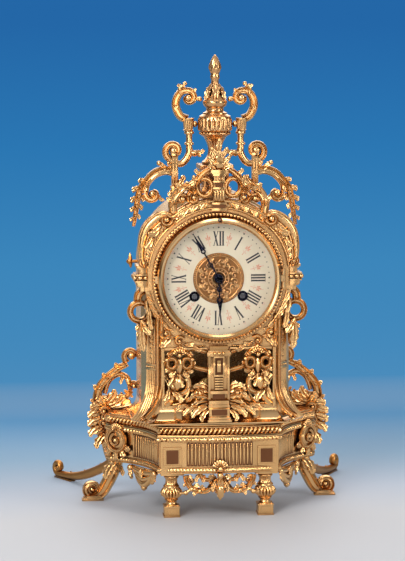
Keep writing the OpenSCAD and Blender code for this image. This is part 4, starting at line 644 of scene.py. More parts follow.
def crockets(cast, path, every, size, lean, side, start, width=0.62, out=0.0):
    """Leaves along a path, each leaning back along it by lean degrees."""
    for i in range(start, len(path) - 1, every):
        root = beside(path, i, side, 0, -size * 0.12)
        tip = beside(path, i, side, -size * sind(lean), size * cosd(lean))
        cast.add(acanthus(root, tip, size * width, side * size * 0.14, size * 0.16, 2, path[i].z + out))


def relief_sheet(cast, root, rim, face, back, cols=17):
    """A thick sheet from root to rim, whose face follows the heights in the face table."""
    front = [p.lerp(q, j / (cols - 1)) + Vector((0, 0, table(face, j / (cols - 1))))
        for p, q in zip(root, rim) for j in range(cols)]
    cast.add(grid_solid(front, [Vector((v.x, v.y, back)) for v in front], len(root), cols))


# ---------------------------------------------------------------- base


def build_base():
    # Cornice: a fillet, a row of slanting gadroons and a second fillet
    cast = Casting(Plane(z=CORNICE_Z))
    pitch = BASE.length / round(BASE.length / 3.7)
    lean = 2.4

    def gadroon(h):
        def f(s):
            u = abs(math.sin(math.pi * (s - lean * h) / pitch)) ** 0.8
            return -1.2 + 3.6 * math.sin(math.pi * (0.1 + 0.8 * h)) ** 0.6 * (0.16 + 0.84 * u)
        return f

    rows = [BASE.hole(*SLOT, 0)] + BASE.rings((1.2, 0.0), (1.6, 0.35), (1.5, 1.0), (0.3, 1.3))
    rows += [BASE.ring(gadroon(k / 8), 1.5 + 5.4 * k / 8) for k in range(9)]
    rows += BASE.rings((0.1, 7.1), (0.55, 7.4), (0.55, 7.9), (-0.4, 8.3), (-1.6, 8.6), (-1.6, 9.4),
        (-2.2, 9.5))
    cast.add(ring_loft(rows + [BASE.hole(*SLOT, 9.5)]))
    cast.piece("base_cornice_gadroons", GILT, replaces=["base_cornice"], angle=50)

    # Hollow skirt with a polished sweep
    cast = Casting(Plane(z=SKIRT_Z))
    h = CASE_Z - SKIRT_Z
    flare = 7.6
    rows = [CASE.hole(*WELL, 0)] + CASE.rings((8.2, 0.0), (8.9, 0.3), (8.9, 1.2), (8.3, 1.5), (flare, 1.5))
    rows += [CASE.ring(flare * (1 - sind(7.5 * k)), 1.5 + (h - 1.6) * (1 - cosd(7.5 * k)))
        for k in range(1, 13)]
    cast.add(ring_loft(rows + [CASE.hole(*WELL, h - 0.1)]))
    cast.piece("skirt_sweep", GILT_SMOOTH, replaces=["case_skirt"], angle=42)

    # Leaf-tip row under the cornice and a reeded rim at the plinth's foot
    def scallop(out, deep, width, h):
        return lambda s: out + deep * abs(math.sin(math.pi * s / width)) ** 0.7 * math.sin(math.pi * h)

    cast = Casting()
    leaf = BASE.length / round(BASE.length / 3.4)
    top, foot = CORNICE_Z - 4.6, BASE_Z
    rows = [BASE.ring(-1.4, top)]
    rows += [BASE.ring(scallop(1.05, 1.4, leaf, 0.12 + 0.76 * k / 5), top + 0.1 + 3.2 * k / 5)
        for k in range(6)]
    rows += BASE.rings((1.3, top + 3.5), (2.0, top + 3.7), (2.0, top + 4.5), (-1.4, top + 4.5))
    cast.add(ring_loft(rows))
    rows = BASE.rings((-1.4, foot + 0.1), (1.5, foot + 0.1), (1.8, foot + 0.5), (1.5, foot + 1.0))
    rows += [BASE.ring(scallop(1.05, 1.1, leaf * 0.8, 0.1 + 0.8 * k / 5), foot + 1.2 + 2.6 * k / 5)
        for k in range(6)]
    rows += BASE.rings((1.2, foot + 4.1), (1.6, foot + 4.4), (1.2, foot + 4.8), (-1.4, foot + 4.9))
    cast.add(ring_loft(rows))
    cast.piece("plinth_mouldings", GILT, angle=50)

    # Frieze of reeds between the plinth's bands, on a sunk ground that is dark with painted shade and some
    # patina
    cast, dark = Casting(), Casting()
    z0, z1 = BASE_Z + 5.6, CORNICE_Z - 4.6
    step = 2.7
    following = step / 2
    for p, m, s in BASE.samples:
        if s < following:
            continue
        following = s + step
        at_block = abs(abs(p.x) - FOOT_X) < BLOCK_W / 2 + 1.6 and p.y < 20
        corner = BOSS[1] - 3 < p.y < CORNER_D + 2
        edge = abs(m.length - 1) > 0.02
        if at_block or corner or edge or abs(p.x) < 1.2:
            continue
        place = Plane(p.y, p.x, math.degrees(math.atan2(m.x, -m.y)))
        cast.add(pod((0, z0, 0.1), (0, z1, 0.1), 1.05, 1.05, 10, 8), place)
        dark.add(slab(step / 2, z0 + 0.6, z1 - 0.6, 0.5, 0.12, 0.05), place)
    cast.piece("frieze_reeds", GILT, angle=60)
    dark.piece("frieze_ground", PATINA_AND_SHADE)

    # Frames and sunk panels on the two blocks; the panels are dark with painted shade and some patina
    cast, dark = Casting(), Casting()
    w = BLOCK_W * 0.33
    low, high = 7, 21
    for side in (-1, 1):
        face = Plane(BLOCK_D - 3.0, side * FOOT_X, z=BASE_Z)
        for x0, x1, a, b in ((-w - 1.3, w + 1.3, high - 0.2, high + 1.2),
                (-w - 1.3, w + 1.3, low - 1.2, low + 0.2), (-w - 1.3, -w + 0.1, low, high),
                (w - 0.1, w + 1.3, low, high)):
            cast.add(block(x0, x1, a, b, 0.8, 0.65, 0.3), face)
        cast.add(slab(w, low, high, 0.6, 0.3, 0.1), face)
        dark.add(slab(w - 1.2, low + 1.2, high - 1.2, 0.6, 0.55, 0.3), face)
    cast.piece("block_frames", GILT)
    dark.piece("block_panels", PATINA_AND_SHADE)


def build_front_feet():
    cast = Casting()
    w = FOOT_W / 2
    profile = [(0.05, 8.6), (5.6, 8.6), (6.2, 9.2), (6.1, 9.9), (4.9, 10.6), (4.3, 11.8), (4.4, 12.9),
        (5.4, 13.7), (5.7, 14.3), (5.2, 14.9), (6.6, 16), (8.4, 17.6), (9.1, 19.3), (9.2, 20.6),
        (8.6, 22), (7.6, 23.4), (6.6, 24.4), (6.9, 25.1), (6.6, 25.9), (5.7, 26.6), (5.0, 28.2),
        (4.8, 30.4), (5.1, 31.8), (6.2, 32.8), (6.3, 33.6), (5.9, 34.2), (6.8, 35), (6.9, 35.8),
        (0.05, 35.9)]

    def flutes(a, z):
        groove = 1 - abs(math.cos(9 * a))
        if 15.2 < z < 24:
            return 1 - 0.2 * groove * math.sin(math.pi * (z - 15.2) / 8.8) ** 0.4
        return 1 - 0.12 * groove if 27 < z < 32.4 else 1

    for side in (-1, 1):
        at = Plane(FOOT_D, side * FOOT_X)
        for turn in (0, 90, 180, 270):
            panel = [(-w + 2.2, 2.6), (w - 2.2, 2.6), (w - 2.8, 7.6), (2.8 - w, 7.6)]
            cast.add(plate(panel, 1, w - 0.35, 0.3), Plane(FOOT_D, side * FOOT_X, turn))
        for half, a, b in ((w, 0, 1.5), (w - 0.5, 1.4, 8.6), (w - 0.1, 8.4, 9.4), (w - 1.4, 9.3, 10.2)):
            cast.add(slab(half, a, b, 2 * half, half, 0.3), at)
        cast.add(turned(profile, 144, flutes), at)
        cast.add(slab(BLOCK_W / 2, BASE_Z - 1.6, BASE_Z - 0.02, BLOCK_W, BLOCK_W / 2, 0.5), at)
    cast.piece("front_feet_cast", GILT, replaces=["front_feet"], angle=48)


def build_corner_feet():
    """Scroll legs under the corners."""
    cast = Casting(Plane(CORNER_D + 14, BASE_HALF_W - 9))
    top = LEG_TOP - 0.4
    r = 8.2
    c = (22, r + 1.5)
    leg = smooth([(0.5, top - 1), (3.2, top * 0.72), (8.4, top * 0.42), (13.5, top * 0.19), (18, 4.6),
        (22, 4.0)], 8)
    cast.add(sweep(leg, (10.4, 9, 6), (8.4, 8.4, 8.4)))
    cast.add(sweep(spiral(c, r - 1.8, 2.4, -90, 372, 36, 0, 1), (5.0, 3.6), (7.6, 8.6)))
    cast.add(plate(oval(r - 1.2, r - 1.2, c, step=15)[:-1], 5, 2.5, 0.6))
    cast.add(pod((c[0], c[1], -4.4), (c[0], c[1], 4.8), 3, 3, 6, 14))
    for x0, x1, a, b, o in ((12.2, 30.6, 0, 1.6, 4), (13, 29.6, 1.5, 3, 3.6), (14.4, 28, 2.9, 4, 3.2)):
        cast.add(block(x0, x1, a, b, 2 * o, o, 0.25))
    cast.add(acanthus((2.5, top - 2), (11, 19), 9, 1.5, 1, 4, 3.2))
    cast.add(acanthus((0, top - 5), (-4.5, top - 16), 5, -1, 1, 2, 2))
    cast.add(acanthus((15, 9), (20.5, 16.5), 4, 1, 1, 2, 3))
    cast.add(ball((5, top - 3.5, 3.4), 3, 0.8))
    cast.two_pieces("corner_foot_SIDE", GILT, ["corner_feet"], 50)


def build_rear_feet():
    """Plain rear legs whose tips curl up."""
    x, d, turn = BASE_HALF_W - 7, BASE_BACK_D - 8, 58.7
    run = (REAR_FOOT_D - d) / sind(turn) - 8.8
    cast = Casting(Plane(d, x, turn))
    top = LEG_TOP - 0.5
    leg = smooth([(2.5, top - 4.2), (7.5, top * 0.68), (run * 0.42, top * 0.33), (run * 0.72, 5.2),
        (run, 3.4)], 8)
    cast.add(sweep(leg, (8.4, 8.2, 6.2), (6, 6, 6), OVAL))
    cast.add(sweep(spiral((run, 9.4), 6.0, 1.4, -90, 330, 34), (6.2, 2.8), (6, 6.2), OVAL))
    cast.add(ball((run, 9.4, 0), 2, 1.5))
    cast.add(block(run * 0.74, run * 1.04, 0, 1.4, 5.6, 2.8, 0.4))
    crockets(cast, leg, 7, 6, 40, 1, 5)
    # The rear legs take the darker gilt of the back: painted shade.
    cast.two_pieces("rear_foot_SIDE", BACK_SHADED_GILT, ["rear_feet"], 60)


def build_front_apron():
    depth = BLOCK_D - BOW_RISE + 1.5
    inner = FOOT_X - BLOCK_W / 2 - SEAT_GAP
    half = Casting(Plane(depth, inner, z=LEG_TOP))
    arm = smooth([(-1.4, -1.5), (-2.4, -6), (-5.6, -11.5), (-11.5, -14.4), (-18.6, -14.6), (-23.05, -9.6),
        (-26.05, -4)], 7)
    half.add(sweep(arm, (4.4, 4, 3.4), (4, 3.6, 3.6)))
    for i, size, lean, side in ((6, 5.5, 15, -1), (11, 5, 20, 1), (16, 6.5, -30, -1), (21, 5.5, 30, 1),
            (27, 6.5, 20, -1), (33, 5, 10, 1), (38, 4.5, 20, -1)):
        tip = beside(arm, i, side, -size * sind(lean), size * cosd(lean))
        half.add(acanthus(arm[i], tip, size * 0.7, side * 0.8, 1.0, 2, 0.4))
    half.add(sweep(spiral((-6.2, -5), 3.6, 1, 60, -200, 16), (2.6, 1.6), (3, 3)))
    half.add(sweep(smooth([(-13, -0.6), (-16, -4.4), (-20.4, -5.2), (-23.45, -1.6)], 6), (3.4, 2.6),
        (3.4, 3)))
    half.add(sweep(smooth([(-7, -12.4), (-1, -15.6), (3.6, -16.2)], 6), (2.8, 2.4), (3, 3), ROUND))
    for x, z, out, r in ((-6.2, -5, 0.3, 1.2), (-1.4, -15.8, 0.2, 2.1), (-12.6, -14.6, 0.6, 1.9)):
        half.add(ball((x, z, out), r))
    half.leaves((((-13, 0), (-9.4, -7), 4.4, 0.6), ((-16.95, -1), (-14.85, -7.2), 4, -0.5)), 1, 2, 0.4)
    half.add(acanthus((-27.45, -6), (-19.85, -2.2), 5.4, 1, 1.2, 3, 0.6))
    half.add(acanthus((-28.25, -10.5), (-21.05, -13.6), 5, -1, 1.2, 2, 0.6))
    half.add(acanthus((0.6, 2), (5.4, 8.6), 4.6, 0.8, 1, 2, 0.4), Plane(FRONT_DROP_D + 3.2, z=LEG_TOP))
    half.add(acanthus((1.4, -3.4), (6.2, -15), 4.4, 1.4, 1.4, 3, 1), Plane(FRONT_DROP_D + 4, z=LEG_TOP))
    cast = Casting(Plane(FRONT_DROP_D + 1.6, z=LEG_TOP))
    cast.both(half)
    cast.add(shell((0, 5.2), 6.4, 10, 170, 7, 1.6))
    cast.add(ball((0, 4.2, 0.8), 2.6))
    cast.add(pod((0, 1.8, 0), (0, -5, 0.5), 3.2, 2.3, 8, 12))
    cast.add(acanthus((0, -3), (0, -19.5), 9.4, 0, 0.6, 4, 0.6))
    cast.add(pod((0, -8, 0.6), (0, -22.2, -0.6), 4.4, 2.0, 9, 14, 6))
    cast.piece("front_apron_cast", GILT, replaces=["front_apron"], angle=50)


def build_side_aprons():
    a = Vector((FOOT_X + BLOCK_W / 2 + 2, BLOCK_D + JOG + 4))
    b = Vector((BOSS[0] - 1, BOSS[1] - 2))
    mid, run = (a + b) / 2, b - a
    cast = Casting(Plane(mid.y, mid.x, math.degrees(math.atan2(run.y, run.x)), LEG_TOP))
    h = run.length / 2 * 0.98
    for k, drop in enumerate((4.4, 9.4, 14.2)):
        q = h * (1 - 0.16 * k)
        swag = [(-q, -1.8), (-q * 0.6, -drop * 0.72), (0, -drop), (q * 0.6, -drop * 0.72), (q, -1.8)]
        cast.add(sweep(smooth(swag, 8), (3.2, 6, 3.2), (3.4, 6.4, 3.4), OVAL))
    cast.add(plate([(-h, -0.3), (h, -0.3), (h * 0.62, -9), (0, -15), (-h * 0.62, -9)], 1.8, 0.6, 0.4))
    for s in (-1, 1):
        cast.add(acanthus((s * h * 0.98, -0.6), (s * h * 0.72, -11.5), 6.4, s, 1, 3, 2))
        cast.add(ball((s * h * 0.93, -2.4, 2), 2.8))
    cast.add(acanthus((0, -1), (0, -9), 6, 0, 1, 2, 3))
    cast.add(pod((0, -14, 0), (0, -20, 0), 3.4, 2.4, 7, 12))
    cast.two_pieces("side_apron_SIDE", GILT, ["side_aprons"], 50)


def build_brackets():
    z = CORNICE_HIGH[2]
    cast = Casting(Plane(CORNER_D + 22, BOSS[0], z=z))
    stem = smooth([(20, -2), (24.4, 6), (23, 16.6), (17.6, 25), (8, 33.4), (-1.6, 38.6)], 8)
    cast.add(sweep(stem, (7.4, 6, 4.6), (6.4, 5.6, 4.8)))
    volute(cast, (-5, 45.5), 7.2, 2.4, -58, 190, (4.8, 3.6), (4.8, 4.8), eye=1.5)
    inner = smooth([(18, 13), (14, 24), (6.6, 29.4), (-0.6, 27), (-3.4, 20.6)], 8)
    cast.add(sweep(inner, (3, 4.2, 4), (4.6, 4.4, 4.4)))
    cast.add(pod((-0.4, 27, 0.6), (-4.2, 19, 0.6), 2.6, 2.2, 7, 12))
    cast.add(acanthus((1.4, 28.6), (4.6, 21), 4, 0.6, 1, 2, 0.6))
    crockets(cast, stem, 8, 7.6, 48, -1, 12, 0.85, 0.2)
    low = smooth([(19, 1), (10, 7), (0, 10), (-5, 15)], 8)
    cast.add(sweep(low, (6, 4.4, 3.4), (5, 4.6, 4)))
    volute(cast, (-7.2, 19.2), 4.7, 1.5, -62, 225, (3.4, 2.6), (4, 4), eye=1.5)
    crockets(cast, low, 6, 6, 20, -1, 4, out=0.4)
    crockets(cast, low, 7, 5, 30, 1, 8, out=0.4)
    # Leafy mass over the corner, with curling tips outside
    cast.leaves((((17, 2), (31, 1), 9, 1.6), ((18, -2), (33, -6.5), 9, 2), ((19, -9), (33, -14), 9, 2),
        ((19, -15), (32, -23), 8.6, 2), ((18, -21), (26, -34), 7.6, 1.6), ((15, -26), (17, -38), 6, 0.6),
        ((14, -1), (22, 12), 7.6, -1.6), ((12, 3), (4, 13), 6, 1)), 2.4, 3, 2.2, 2.6)
    cast.add(pod((17, -4), (21, -20), 6.4, 6.4 * 0.7, 9, 14, 5))
    cast.add(pod((16, -18), (18, -34), 4.6, 4.6 * 0.7, 9, 14, 5))
    volute(cast, (19, -1.5), 4.6, 1.2, 200, -170, (2.8, 2), (3, 3), out=5.2, eye=1.5)
    volute(cast, (19.6, -12), 4.2, 1.2, -140, 220, (2.6, 1.8), (3, 3), out=4.6, eye=1.5)
    cast.add(plate([(21, -31), (29, -15), (30, 1), (21, 11), (8, 12), (-4, 7), (-5, 0.4), (16, 0.4),
        (15.6, -30)], 5, 1.2, 0.8))
    cast.leaves((((18, 2), (1, 12), 9, 2), ((15, 0.6), (-5, 4), 8, 1.4), ((20, 4), (9, 17), 8, 1.6),
        ((24, 4), (20, -12), 9, 1.4)), 2.2, 3, 1.6, 2.4)
    # Oval shell cartouche on the canted corner, with its spiral and frame
    boss = Plane((BOSS[1] + CORNER_D) / 2 - 1, (BOSS[0] + BASE_HALF_W) / 2 + 1.2, 41.4, BASE_Z + 19)
    face = 1.6
    cast.add(plate(oval(8.4, 8.8)[:-1], 2.4, face + 0.3, 1.2), boss)
    cast.add(sweep(oval(8.8, 9.2, out=face), (3.2, 3.2), (3.4, 3.4)), boss)
    volute(cast, (0, 0), 5.4, 1.2, 80, -330, (2.6, 1.8), (2.6, 2.6), out=face + 0.8, eye=1.6, plane=boss)
    for a, w in ((206, 6), (236, 6.6), (270, 7), (304, 6.6), (334, 6)):
        cast.add(acanthus(polar(8, a), polar(16, a), w, 0.4, 1, 3, face - 0.4), boss)
    cast.add(shell((0, 8), 6.4, 20, 160, 7, 1.8, face), boss)
    cast.two_pieces("bracket_SIDE_cast", GILT, ["side_bracket_SIDE"], 50)


# ---------------------------------------------------------------- front and shoulders


def build_pilaster():
    """The pilaster and its sunk panels, dark with painted shade and some patina; half widths and heights
    over the case's foot.
    """
    w = 9.0
    top = DIAL_Z - BEAD_R - 1.5 - CASE_Z
    foot = SKIRT_Z - CASE_Z
    cast, dark = Casting(Plane(PANEL_D, z=CASE_Z)), Casting(Plane(PANEL_D, z=CASE_Z))
    cast.slabs(((w - 1.4, -3, top, 4, 2.6), (w + 1, top - 7, top - 5, 4, 4.6),
        (w, top - 5, top - 3.6, 4, 4), (w + 0.6, top - 8.6, top - 7, 4, 3.8), (w, 0, 2.6, 4, 5.6),
        (w - 0.6, 2.6, 6, 4, 5), (w - 1.6, 11.6, 14.2, 4, 5), (4.6, 26, 27.6, 4, 4.6),
        (4.6, 41.6, 43, 4, 4.6), (1.6, 29.4, 39.6, 4, 4.2), (w + 1, foot + 2, foot + 4, 8, 10.4),
        (w + 0.2, foot + 4, foot + 6, 8, 9.6), (w - 0.4, foot + 6, 0, 6, 7.8)), 0.35)
    for x0, x1, a, b, out in ((w - 2, w - 0.2, 6, top - 8, 4), (3.2, 4.6, 27, 42, 4.6)):
        cast.add(block(x0, x1, a, b, 4, out, 0.35))
        cast.add(block(-x1, -x0, a, b, 4, out, 0.35))
    for k in range(5):
        cast.add(slab(3.6, 15.2 + 2.1 * k, 16.5 + 2.1 * k, 4, 4.4, 0.3))
    for k in range(3):
        cast.add(ball((-3.6 + 3.6 * k, top - 6, 4.8), 1.5))
    dark.slabs(((3.2, 27.6, 41.6, 1, 3.0), (3.6, 15, 25.4, 1, 3.0)), 0.1)
    dark.add(slab(5, 7, 11.4, 1.4, 3.2, 0.3))
    dark.add(slab(6.4, foot + 7.4, -0.8, 1.4, 8.6, 0.4))
    return cast, dark


def front_cartouche():
    """Oval cartouche pierced by two eyes, with a leafy shell between its rings, drawn round its centre."""
    cast = Casting(Plane(PANEL_D, 32.5, z=CASE_Z + 37.5))
    for eye in (-6.4, 6.4):
        cast.add(sweep(oval(3.7, 4.2, (eye, 0), 2.4, step=18), (3, 3), (3.8, 3.8)))
    cast.add(sweep(oval(10.6, 10.4, out=1.4, a0=-64, a1=244, step=9), (3.4, 3.4), (3.6, 3.6)))
    cast.add(shell((0, 6.4), 6.4, 12, 168, 7, 2, 2.2))
    cast.add(ball((0, 6.6, 4), 1.9))
    cast.add(pod((0, 5, 2.4), (0, -9.6, 2.4), 3, 2.4, 8, 12, 5))
    for a in (0, 38, 76, 104, 142, 180):
        cast.add(acanthus(polar(9, a), polar(13.2, a), 4.4, 0.4, 1.2, 2, 1.6))
    for a in (-24, 204, 232, -52):
        cast.add(acanthus(polar(5, a, (0, -2)), polar(12.6, a, (0, -2)), 4.6, 0.8, 1.4, 2, 2))
    cast.add(ball((-10.6, 3, 3.2), 1.6))
    cast.add(ball((10.6, 3, 3.2), 1.6))
    cast.add(sweep(smooth([(-10.5, -2.5), (-15.5, -4.5), (-23.5, -6.5)]), (3.6, 3.6), (3.6, 3.6)))
    cast.add(sweep(smooth([(-6, 9.5), (-12, 11.6), (-21.9, 8.6)]), (2.6, 3.2), (3, 3)))
    return cast


def build_front():
    cast, dark = build_pilaster()
    half = Casting(Plane(PANEL_D, z=CASE_Z))
    cast.both(front_cartouche())
    # Scrolls that carry the cartouche
    half.add(sweep(smooth([(31, 28), (25.4, 23), (26, 15), (32.6, 12), (38, 17)], 7), (5, 4.6, 3.8),
        (4, 4, 3.6)))
    half.add(ball((37.6, 18, 1.6), 2.6))
    outer = smooth([(44, 2), (38.4, 9), (40, 20), (44.4, 27)], 7)
    half.add(sweep(outer, (5, 5.4, 4), (4, 4, 3.6), CRESTED))
    half.leaves((((33.4, 29), (29.4, 17.4), 7.4, 1.4), ((36, 29), (42, 19), 7.4, -1.4),
        ((41, 16), (45.4, 6), 6, -1), ((38, 14), (31, 4.6), 7.4, -1.4)), 2, 3, 1.4)
    half.add(pod((34.8, 27, 2.4), (34.4, 14, 2.4), 3.4, 2.6, 8, 14, 5))
    # Hollow leaf that curls up from the sill
    horn = smooth([(38, 1.4), (31, 2.4), (25, 7.6), (22.4, 14.4), (25, 18)], 7)
    half.add(sweep(horn, (4, 6.4, 3.6), (4, 4.4, 3), CRESTED))
    # Acanthus that sprawls from the pilaster's foot over the skirt
    half.leaves((((8, 12.6), (21.4, 18.4), 7, 1.6), ((8, 8.6), (24, 9), 8, 1.8),
        ((8, 4.6), (22.6, -0.4), 8, 1.8), ((8, 15), (16, 21), 5, 1)), 2.4, 3, 1.2, 2)
    volute(half, (15.4, 12.2), 3.8, 1.5, -60, 230, (3, 2.2), (4, 4), out=1.6, eye=1.4)
    half.leaves((((10, 2), (23, -7.4), 7, 1.6), ((17, 2), (30, -5.6), 6, 1.6),
        ((9, -1), (14.4, -11), 6, 1.6), ((25, 2.6), (36, -2), 5, 1.6)), 2.2, 3, -0.6, 3,
        plane=Plane(PANEL_D - 5.6, z=CASE_Z))
    cast.both(half)
    cast.piece("front_ornament_cast", GILT, replaces=["front_ornament"], angle=50)
    dark.piece("pilaster_recesses", PATINA_AND_SHADE)


# Outline of the scrolled ear beside the dial, from the dial's centre
EAR = [(59.6, 9.5), (63, 11.5), (65.4, 18), (66, 28), (64.6, 38), (60.4, 46.4), (53.6, 52.6),
    (46.4, 55.6), (40.6, 54), (38, 49.6)]
# Heights of a face from its inner edge (0) to its rim (1): the ear's, and that of the leaves over the beads
EAR_FACE = [(0, 0.2), (0.1, 1.1), (0.2, 0.3), (0.45, 0.2), (0.6, 1.0), (0.72, 2.7), (0.82, 3.2),
    (0.92, 2.6), (1, -1.6)]
SHEET_FACE = [(0, 0.0), (0.15, 1.0), (0.3, 0.4), (0.6, 0.9), (0.8, 1.7), (0.92, 1.3), (1, -1.4)]


def ear(cast):
    """A scrolled, leaf-covered ear between the bead ring and the hood's edge."""
    rim = smooth(EAR, 5)
    n = len(rim)
    root = [point(polar(58.4, mix(9, 51, i / (n - 1)))) for i in range(n)]
    relief_sheet(cast, root, rim, EAR_FACE, -9)

    def lane(u, out):
        return [p.lerp(q, u) + Vector((0, 0, out)) for p, q in zip(root, rim)]

    for u, out, w, t in ((0.54, 1.2, 1.5, 2), (0.97, 0.2, 1.8, 3), (0.05, 0.9, 1.5, 2)):
        cast.add(sweep(lane(u, out), (w, w), (t, t), ROUND))
    for i in range(2, n - 9, 4):
        cast.add(acanthus(lane(0.02, 0)[i], lane(0.52, 0)[i + 5], 4.6, 0.7, 1.2, 3, 0.4))
    for i in range(3, n - 6, 3):
        cast.add(pod(lane(0.66, 2.5)[i], lane(0.94, 2.2)[i + 1], 0.75, 0.75, 6, 8))
    volute(cast, (43.4, 49), 5.4, 1.8, 170, 500, (3.6, 2.6), (5, 5), eye=1.5, out=1.2)
    volute(cast, (61.6, 13.6), 3.6, 1.3, 60, -250, (2.8, 2), (4, 4), eye=1.4, out=1)
    cast.add(acanthus((48, 43), (58, 37), 8, -1.6, 1.6, 3, 1.2))
    cast.add(acanthus((54, 35), (61, 26), 6.4, -1.2, 1.4, 3, 1.0))


def build_shoulders():
    cast = Casting(Plane(PANEL_D - 2.6, z=DIAL_Z))
    ear(cast)
    # Band across the side with a row of beads, drawn from the panel's edge
    side = Plane(PANEL_D + 6, PANEL_R, z=DIAL_Z)
    for reach, a, b, thick, out in ((67.6, 9.2, 11.4, 18, 8.6), (66.6, 8, 9.4, 18, 7.6),
            (65.4, 4, 8.2, 17, 6.4), (69, 3, 4.2, 18, 8.2), (67.6, -1.2, 3.2, 17, 6.4),
            (69, -2.4, -1.2, 18, 8.2), (67.4, -5.4, -2.2, 18, 7.4), (66.4, -6.6, -5.2, 17, 6.6),
            (64.6, -10.4, -6.4, 15, 5.6)):
        cast.add(block(-2.6, reach - PANEL_R, a, b, thick, out, 0.4), side)
    for k in range(4):
        cast.add(ball((68.6 - PANEL_R, 1, 5.4 - 4.6 * k), 2.2), side)
    for k in range(2):
        cast.add(ball((-1 + 4.6 * k, 1, 7), 2.1), side)
    # Ring-shaped loop with its leafy tie, and the drop below it
    cast.add(sweep(spiral((3.8, -27.6), 7.4, 7.4, 100, -262, 30), (4.6, 4.2), (6, 6)), side)
    cast.add(sweep(smooth([(-1, -9), (4, -13), (5, -19)]), (6, 6), (7, 6)), side)
    cast.leaves((((-3, -14), (-4.4, -30), 6.4, 1), ((-4, -26), (-6.4, -42), 6.4, 1),
        ((3, -34), (-5, -46), 6.6, 1), ((2, -36), (0.6, -60), 8, 1)), 1, 3, 4.4, 4, plane=side)
    cast.add(pod((2, -36, 0), (-0.6, -58, 0), 4, 2.6, 9, 12, 5), side)
    for k in range(4):
        cast.add(acanthus((0, -38 - 5 * k), (7 - k, -42.4 - 5 * k), 5, 0.6, 1, 2, 1), side)
    cast.two_pieces("shoulder_SIDE_cast", GILT, ["shoulder_SIDE"], 50)


def build_panel_relief():
    """Low relief under the dial: scrolls and leaves that follow the beads, and the opening's frame."""
    half = Casting(Plane(PANEL_D, z=DIAL_Z))
    top, foot = CASE_Z + 49 - DIAL_Z, CASE_Z + 3 - DIAL_Z
    half.add(sweep([Vector((*polar(58.6, a), 0.6)) for a in range(-10, -46, -2)], (3, 3.4), (3, 3),
        CRESTED))
    for a in (-14, -21, -28, -35, -42):
        half.add(acanthus(polar(60.4, a + 2), polar(57, a - 7), 5, 0.8, 1, 2, 0.8, 1.6))
    volute(half, (43.4, -45), 5, 1.6, 40, -300, (3.2, 2.2), (3, 3), out=0.8)
    volute(half, (32.4, -51.6), 4, 1.3, 150, -180, (2.8, 2), (3, 3), out=0.8)
    half.add(sweep(smooth([(44, -40.4), (47.4, -36), (48, -28)]), (3.4, 2.6), (3, 3)))
    half.add(sweep(smooth([(29, -53.4), (22, -56.4), (11, -57)]), (3, 3), (3, 3), CRESTED))
    half.leaves((((39.4, -49), (46.4, -56.4), 6, 1), ((36, -48.6), (43, -47), 4.6, -0.6),
        ((28, -55), (20.6, -53.4), 4.6, 0.6), ((22, -56), (14.4, -59.4), 5, 0.6),
        ((46, -46), (47.6, -57), 4.6, 0.6), ((34, -54.4), (27, -60), 5, 0.8)), 1.2, 2, 0.9, 1.6)
    half.add(block(9, 47.4, top - 0.4, top + 1, 1.6, 1.4, 0.4))
    half.add(block(45.4, 46.8, foot, top, 1.6, 1.4, 0.4))
    cast = Casting()
    cast.both(half)
    cast.piece("panel_relief", GILT, angle=50)


# ---------------------------------------------------------------- cresting and urn


